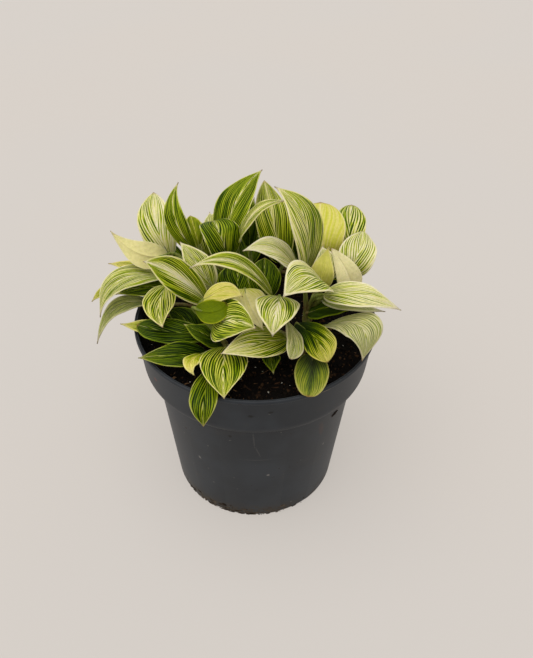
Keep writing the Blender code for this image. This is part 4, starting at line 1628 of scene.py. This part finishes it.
# Each has the place of its stem in the soil and its leaves. A leaf has its name, the places where its
# midrib begins, arches and ends, its width, its roll and its fold, then its kind and what differs from it.
PLANTLETS = (
    Plantlet("plantlet_left", (-28, 5), (
        Leaf("big_striped", (-23, -7, 117), (-37, -12, 137), (-50, -14, 145), 17, 48, 14, Look.HEARTED,
             dict(heart=0.46, cream=0.36, lines=9), widest=0.45),
        Leaf("bright", (-44, 5, 118), (-45, -16, 121), (-41, -31, 121), 16, 0, 14, Look.PINSTRIPED,
             dict(cream=0.45, yellow=0.35, lines=7)),
        Leaf("drooping", (-46, 14, 117), (-67, 2, 122), (-76, -6, 106), 14, 18, 14, Look.STREAKED,
             dict(cream=0.52, grey=0.15)),
        Leaf("hidden_tip", (-55, 24, 110), (-74, 17, 108), (-85, 14, 100), 10, 20, 14, Look.OLIVE,
             dict(cream=0.5)),
        Leaf("shaded", (-43, 11, 112), (-56, 7, 115), (-70, 6, 111), 13, 22, 14, Look.DARK,
             dict(dark_green_and_shade=0.35, cream=0.26, lines=8)),
        Leaf("low_drooping", (-52, 6, 106), (-69, -1, 108), (-78, -12, 94), 10, 15, 14, Look.GREYED,
             dict(cream=0.42, dark_green_and_shade=0.2)),
        Leaf("sliver", (-51, 24, 112), (-64, 25, 115), (-77, 27, 115), 8, 30, 14, Look.OLIVE,
             dict(cream=0.56, dark_green_and_shade=0.0)),
        Leaf("pale_back", (-44, 16, 129), (-57, 12, 132), (-72, 22, 138), 14, -125, 14, Look.PLAIN,
             dict(cream=0.9, yellow=0.2, grey=-0.2)),
        Leaf("tall_pale", (-44, 24, 122), (-50, 28, 138), (-54, 50, 144), 19, 10, 14, Look.CREAMY,
             dict(side=0.16, lines=7), widest=0.55, point=0.7),
        Leaf("small_striped", (-21, -1, 122), (-28, -1, 136), (-36, 7, 142), 14, 40, 14, Look.STREAKED,
             dict(margin=1.0)),
        Leaf("horn", (-31, 21, 128), (-40, 21, 148), (-39, 37, 157), 11, 25, 14, Look.PINSTRIPED,
             dict(cream=0.29, dark_green_and_shade=0.1, lines=7, rim=0.35)),
        Leaf("rim_tip", (-42, -11, 103), (-53, -14, 107), (-65, -12, 107), 9, 20, 14, Look.OLIVE,
             dict(end=0.5)),
    )),
    Plantlet("plantlet_back", (0, 22), (
        Leaf("peep_left", (-31, 38, 120), (-33, 42, 127), (-36, 51, 130), 10, 0, 14, Look.OLIVE,
             widest=0.6, point=0.7),
        Leaf("peep", (-21, 35, 119), (-24, 44, 127), (-26, 55, 130), 12, 0, 14, Look.STREAKED,
             dict(cream=0.6)),
        Leaf("folded_round", (-14, 16, 127), (-17, 11, 143), (-21, 23, 144), 23, 0, 24, Look.PINSTRIPED,
             dict(cream=0.28, dark_green_and_shade=0.35, lines=8, heart=0.14), widest=0.5, point=0.5),
        Leaf("tall_green", (-17, 27, 125), (-11, 27, 151), (2, 44, 161), 21, -8, 14, Look.PINSTRIPED,
             dict(cream=0.3, dark_green_and_shade=0.05, lines=11, margin=0.6), widest=0.45),
        Leaf("behind_tall", (-4, 34, 122), (-4, 38, 135), (-2, 50, 142), 10, 0, 14, Look.DARK),
        Leaf("small_arch", (-9, 17, 136), (0, 11, 157), (14, 14, 161), 9, -20, 14, Look.PINSTRIPED,
             dict(cream=0.44, yellow=0.15, heart=0.2)),
        Leaf("broad_back", (13, 22, 121), (8, 24, 143), (3, 48, 153), 19, 5, 14, Look.PINSTRIPED,
             dict(cream=0.36, yellow=0.35, dark_green_and_shade=0.15, end=0.3), widest=0.5, point=0.8),
        Leaf("dark_low_left", (-15, 7, 107), (-19, 10, 118), (-24, 18, 122), 14, 0, 14, Look.DARK,
             dict(dark_green_and_shade=0.7)),
        Leaf("dark_low_mid", (-9, 3, 110), (-9, 6, 121), (-10, 13, 126), 22, 0, 14, Look.DARK,
             dict(dark_green_and_shade=0.6, cream=0.26), widest=0.5, point=0.6),
        Leaf("dark_low_right", (5, 3, 112), (4, 5, 124), (4, 14, 129), 17, 0, 14, Look.DARK,
             dict(dark_green_and_shade=0.6, cream=0.26), widest=0.5, point=0.8),
    )),
    Plantlet("plantlet_centre", (3, -9), (
        Leaf("arching", (8, -13, 126), (-8, -28, 155), (-28, -26, 150), 10, 30, 14, Look.HEARTED,
             dict(cream=0.36, heart=0.32)),
        Leaf("white_heart", (11, -21, 132), (9, -44, 140), (8, -52, 135), 20, 4, 14, Look.HEARTED,
             dict(cream=0.5, heart=0.25, margin=1.1), widest=0.22),
        Leaf("yellow_broad", (-5, -9, 127), (-2, -27, 132), (4, -35, 124), 17, 5, 14, Look.YELLOWED,
             dict(cream=0.8, end=0.4, yellow=0.45, bare=0.68)),
        Leaf("broad_low", (15, -27, 112), (0, -42, 122), (-14, -49, 122), 17, 22, 14, Look.STREAKED,
             dict(cream=0.50, end=0.45, yellow=0.2)),
    )),
    Plantlet("plantlet_front", (-11, -25), (
        Leaf("curled_yellow", (-23, -23, 131), (-13, -26, 138), (-5, -32, 140), 11, -30, 14, Look.YELLOWED,
             dict(cream=0.70)),
        Leaf("curled_belly", (-26, -28, 130), (-18, -34, 133), (-12, -31, 135), 11, 130, 4, Look.PLAIN,
             dict(cream=0.28, dark_green_and_shade=0.55, yellow=1.0, grey=-0.2), widest=0.5, point=0.5),
        Leaf("striped", (-18, -29, 123), (-8, -41, 134), (1, -46, 134), 21, -42, 14, Look.PINSTRIPED,
             dict(cream=0.38, lines=10), widest=0.22),
        Leaf("front_heart", (-13, -32, 111), (-13, -52, 114), (-12, -63, 109), 22, 0, 14, Look.PINSTRIPED,
             dict(cream=0.39, lines=9, heart=0.0, thread=0.3, yellow=0.3), widest=0.3),
        Leaf("over_rim", (-19, -38, 103), (-21, -59, 106), (-21, -67, 96), 13, 0, 14, Look.PINSTRIPED,
             dict(cream=0.30, dark_green_and_shade=0.6, yellow=0.5, lines=6, heart=0.0), widest=0.55, point=1),
        Leaf("tiny_yellow", (-24, -34, 108), (-28, -43, 111), (-26, -48, 108), 8, 0, 14, Look.YELLOWED,
             dict(end=0.4, cream=0.6)),
        Leaf("low_dark", (-22, -18, 107), (-39, -23, 112), (-56, -16, 110), 15, 14, 14, Look.DARK,
             dict(lines=8, cream=0.24, dark_green_and_shade=0.8), widest=0.6, point=0.6),
        Leaf("low_bright", (-22, -28, 103), (-37, -36, 109), (-53, -35, 106), 14, 20, 14, Look.PINSTRIPED,
             dict(cream=0.21, dark_green_and_shade=0.65, yellow=0.4, lines=8, end=0.25, heart=0.0)),
        Leaf("dark_centre", (-15, -22, 105), (-24, -25, 113), (-33, -21, 115), 12, 15, 14, Look.DARK,
             dict(dark_green_and_shade=0.6)),
        Leaf("dark_pocket", (-28, -12, 103), (-35, -9, 109), (-44, -3, 110), 14, 20, 14, Look.DARK,
             dict(dark_green_and_shade=0.8)),
    )),
    Plantlet("plantlet_right", (26, 5), (
        Leaf("heart", (33, -13, 131), (23, -29, 149), (12, -40, 146), 21, 20, 14, Look.CREAMY,
             dict(cream=0.55, lines=10, margin=1.3), widest=0.5),
        Leaf("long", (32, -12, 127), (48, -23, 135), (66, -23, 127), 14, -22, 14, Look.CREAMY,
             dict(cream=0.64, end=0.3)),
        Leaf("under_long", (32, -4, 118), (45, -11, 120), (62, -9, 115), 8, -15, 14, Look.GREYED,
             dict(dark_green_and_shade=0.3)),
        Leaf("shaded", (26, -1, 107), (36, -5, 114), (48, -4, 112), 14, -10, 14, Look.DARK,
             dict(dark_green_and_shade=0.6, bare=0.4)),
        Leaf("big_arch", (24, 3, 129), (22, -1, 160), (8, 14, 168), 20, 10, 14, Look.GREYED,
             dict(cream=0.49, side=-0.12, grey=0.15, yellow=0.2), widest=0.42),
        Leaf("pale_left", (20, 2, 130), (8, -3, 146), (-6, -6, 146), 14, 28, 14, Look.GREYED,
             dict(cream=0.76, grey=0.3)),
        Leaf("yellow_fan", (36, 28, 118), (32, 29, 135), (33, 57, 136), 26, 0, 4, Look.YELLOWED,
             dict(bare=0.88, cream=0.635, yellow=0.6), widest=0.66, point=0.4),
        Leaf("back_green", (48, 34, 120), (47, 36, 134), (50, 60, 133), 17, 0, 10, Look.STREAKED,
             dict(cream=0.48, lines=6), widest=0.6, point=0.5),
        Leaf("back_pale", (45, 14, 119), (49, 12, 134), (54, 36, 132), 19, -5, 14, Look.CREAMY,
             widest=0.5, point=0.8),
        Leaf("young_back", (31, -2, 122), (31, -6, 137), (34, 5, 142), 12, 170, 14, Look.PLAIN,
             dict(cream=0.62)),
        Leaf("young_cup", (45, -2, 121), (43, -4, 133), (35, 4, 142), 13, 45, 16, Look.PLAIN,
             dict(cream=0.92, yellow=0.3), point=0.8),
        Leaf("behind_arch", (20, 30, 118), (16, 36, 130), (14, 50, 136), 16, 0, 14, Look.DARK),
        Leaf("pale_filler", (34, 12, 116), (34, 11, 129), (32, 19, 133), 15, 0, 14, Look.CREAMY),
    )),
    Plantlet("plantlet_right_front", (22, -20), (
        Leaf("drooping", (33, -18, 113), (47, -34, 126), (48, -42, 113), 19, -12, 14, Look.GREYED,
             dict(grey=0.85, cream=0.54), widest=0.55),
        Leaf("patched", (20, -18, 114), (28, -34, 118), (33, -41, 111), 16, -10, 14, Look.DARK,
             dict(dark_green_and_shade=0.15, cream=0.26, end=1.0, yellow=0.2, yellow_end=0.95, side=-0.15),
             widest=0.6, point=0.7),
        Leaf("narrow_pale", (15, -23, 119), (18, -40, 122), (16, -47, 118), 9, 25, 14, Look.GREYED,
             dict(cream=0.52), widest=0.62, point=0.6),
        Leaf("low_olive", (27, -28, 104), (26, -44, 107), (24, -57, 105), 16, 0, 14, Look.OLIVE,
             dict(cream=0.40, heart=-0.26, end=0.4, dark_green_and_shade=0.55, grey=0.35, yellow=1.0, thread=0.0, bare=0.45),
             widest=0.5, point=0.4),
        Leaf("tiny_dark", (8, -29, 103), (8, -35, 106), (9, -39, 101), 9, 0, 14, Look.DARK),
        Leaf("tiny_bract", (29, -20, 113), (31, -26, 117), (33, -28, 116), 5, 0, 14, Look.YELLOWED),
    )),
    Plantlet("plantlet_back_left", (-22, 34), (
        Leaf("wide", (-28, 45, 108), (-40, 59, 117), (-50, 71, 108), 22, 0, 14, Look.PINSTRIPED,
             dict(cream=0.38)),
        Leaf("low", (-38, 36, 106), (-56, 44, 113), (-70, 50, 102), 20, 0, 14, Look.DARK, dict(dark_green_and_shade=0.2)),
        Leaf("trailing", (-22, 48, 106), (-26, 62, 110), (-28, 76, 98), 18, 0, 14, Look.PINSTRIPED,
             dict(dark_green_and_shade=0.15)),
        Leaf("inner", (-15, 44, 113), (-18, 58, 124), (-22, 74, 118), 20, 0, 14, Look.HEARTED),
        Leaf("side", (-42, 33, 103), (-60, 38, 107), (-73, 42, 98), 17, 0, 14, Look.STREAKED,
             dict(grey=0.3)),
    )),
    Plantlet("plantlet_back_right", (20, 36), (
        Leaf("wide", (24, 48, 110), (28, 64, 122), (34, 78, 113), 22, 0, 14, Look.STREAKED),
        Leaf("low", (35, 44, 107), (48, 57, 114), (57, 68, 105), 20, 0, 14, Look.PINSTRIPED,
             dict(yellow=0.2)),
        Leaf("side", (38, 30, 106), (48, 37, 109), (56, 43, 102), 16, 0, 14, Look.DARK, dict(dark_green_and_shade=0.2)),
        Leaf("inner", (8, 44, 116), (7, 58, 131), (7, 74, 125), 22, 0, 14, Look.PINSTRIPED, dict(cream=0.4)),
        Leaf("trailing", (12, 50, 104), (10, 66, 108), (8, 78, 96), 17, 0, 14, Look.CREAMY),
        Leaf("middle", (-4, 42, 106), (-7, 58, 113), (-8, 74, 104), 18, 0, 14, Look.DARK, dict(dark_green_and_shade=0.15)),
    )),
)


# The studio


@dataclass(frozen=True)
class Studio:
    """The pale sweep that the pot stands on, soft light from above, and the camera."""

    floor_half: float = 4000.0
    floor_colour: Colour = (0.22, 0.203, 0.188)
    floor_cool: Colour = (0.216, 0.203, 0.192)
    floor_glow: Colour = (0.425, 0.394, 0.362)
    floor_roughness: float = 0.85
    sky: Colour = (1.0, 0.985, 0.965)
    sky_strength: float = 0.66
    lamp_from: Point = (-0.25, -0.25, 1.0)
    lamp_spread: float = 70.0
    lamp_power: float = 1.75
    focal_pixels: float = 700.0
    image_height: float = 658.0
    sensor: float = 36.0
    nearest: float = 0.01
    farthest: float = 50.0
    distance: float = 354.0
    elevation: float = 39.9
    roll: float = 1.0
    aim: tuple[float, float] = (5.45, 95.4)

    def sweep(self) -> bpy.types.Object:
        """Builds the floor, which reaches past everything that the camera sees.

        Returns:
            The floor.
        """
        half = self.floor_half
        corners = np.array([(x * half, y * half, 0.0) for x, y in ((-1, -1), (1, -1), (1, 1), (-1, 1))])
        mesh = make_mesh("pale_floor", corners, [(0, 1, 2, 3)])
        # A little light of its own keeps the sweep as even as a lit paper roll.
        glow = {"Emission_Color": (*self.floor_glow, 1.0), "Emission_Strength": 1.0}
        paper = Finish("pale_paper", self.floor_roughness, Specular_IOR_Level=0.1, **glow)
        clouds = paper.blotches(0.4, 0.6, 3.0, 1.0)
        paper.send(paper.mixed(clouds, self.floor_colour, self.floor_cool), "Base Color")
        mesh.materials.append(paper.material)
        floor = add_object("pale_floor", mesh)
        return floor

    def light(self) -> None:
        """Lights the scene evenly from all round, and more from a wide lamp overhead."""
        world = bpy.data.worlds.new("soft_surround")
        world.use_nodes = True
        background = world.node_tree.nodes["Background"]
        background.inputs[0].default_value = (*self.sky, 1.0)
        background.inputs[1].default_value = self.sky_strength
        bpy.context.scene.world = world
        lamp = bpy.data.lights.new("wide_lamp", "SUN")
        lamp.angle = math.radians(self.lamp_spread)
        lamp.energy = self.lamp_power
        down = -Vector(self.lamp_from)
        add_object("wide_lamp", lamp).rotation_euler = down.to_track_quat("-Z", "Y").to_euler()

    def camera(self) -> None:
        """Places the camera as the photograph was taken."""
        lift, roll = math.radians(self.elevation), math.radians(self.roll)
        ahead = Vector((0, math.cos(lift), -math.sin(lift)))
        right, up = Vector((1, 0, 0)), Vector((0, math.sin(lift), math.cos(lift)))
        side = right * math.cos(roll) + up * math.sin(roll)
        turned = Matrix((side, up * math.cos(roll) - right * math.sin(roll), -ahead))
        data = bpy.data.cameras.new("photo_camera")
        data.sensor_width = self.sensor
        data.lens = self.focal_pixels / self.image_height * self.sensor
        data.clip_start = self.nearest
        data.clip_end = self.farthest
        camera = add_object("photo_camera", data)
        place = Vector((self.aim[0], 0, self.aim[1])) - ahead * self.distance
        camera.matrix_world = Matrix.Translation(place * MM) @ turned.transposed().to_4x4()
        bpy.context.scene.camera = camera


# Putting it together


def hand_over(piece: bpy.types.Object, node: str | None) -> None:
    """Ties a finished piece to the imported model.

    Args:
        piece: the piece
        node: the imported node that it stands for, if any
    """
    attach(piece, "root")
    if node:
        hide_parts(node)
    log.info("%s: %d faces", piece.name, len(piece.data.polygons))


def main() -> None:
    """Builds the studio, the pot, the soil and the plantlets."""
    bpy.context.scene.view_settings.view_transform = "Standard"
    studio = Studio()
    studio.camera()
    studio.sweep()
    studio.light()
    pot = Pot()
    hand_over(pot.build(PlasticFinish(pot).make()), "pot")
    soil = Soil(pot)
    finishes = {name: finish.make() for name, finish in PEAT_FINISHES.items()}
    hand_over(soil.bed(finishes["soil_bed"]), "soil")
    strewing = scatter_recipe()
    for grain in GRAINS:
        hand_over(grain.strew(strewing, soil, finishes[grain.name]), None)
    hand_over(StuckSoil(pot).build(finishes["stuck_soil"]), None)
    grid = BladeGrid()
    leaf_finish = LeafFinish().make()
    stalk_finish = StalkFinish().make()
    sweeping = stalk_recipe()
    seed = 1
    for plantlet in PLANTLETS:
        hand_over(plantlet.blades(grid, seed, leaf_finish), plantlet.name)
        hand_over(plantlet.stalks(sweeping, stalk_finish), plantlet.name)
        seed += len(plantlet.leaves)


if __name__ == "__main__":
    logging.basicConfig(level=logging.INFO)
    main()
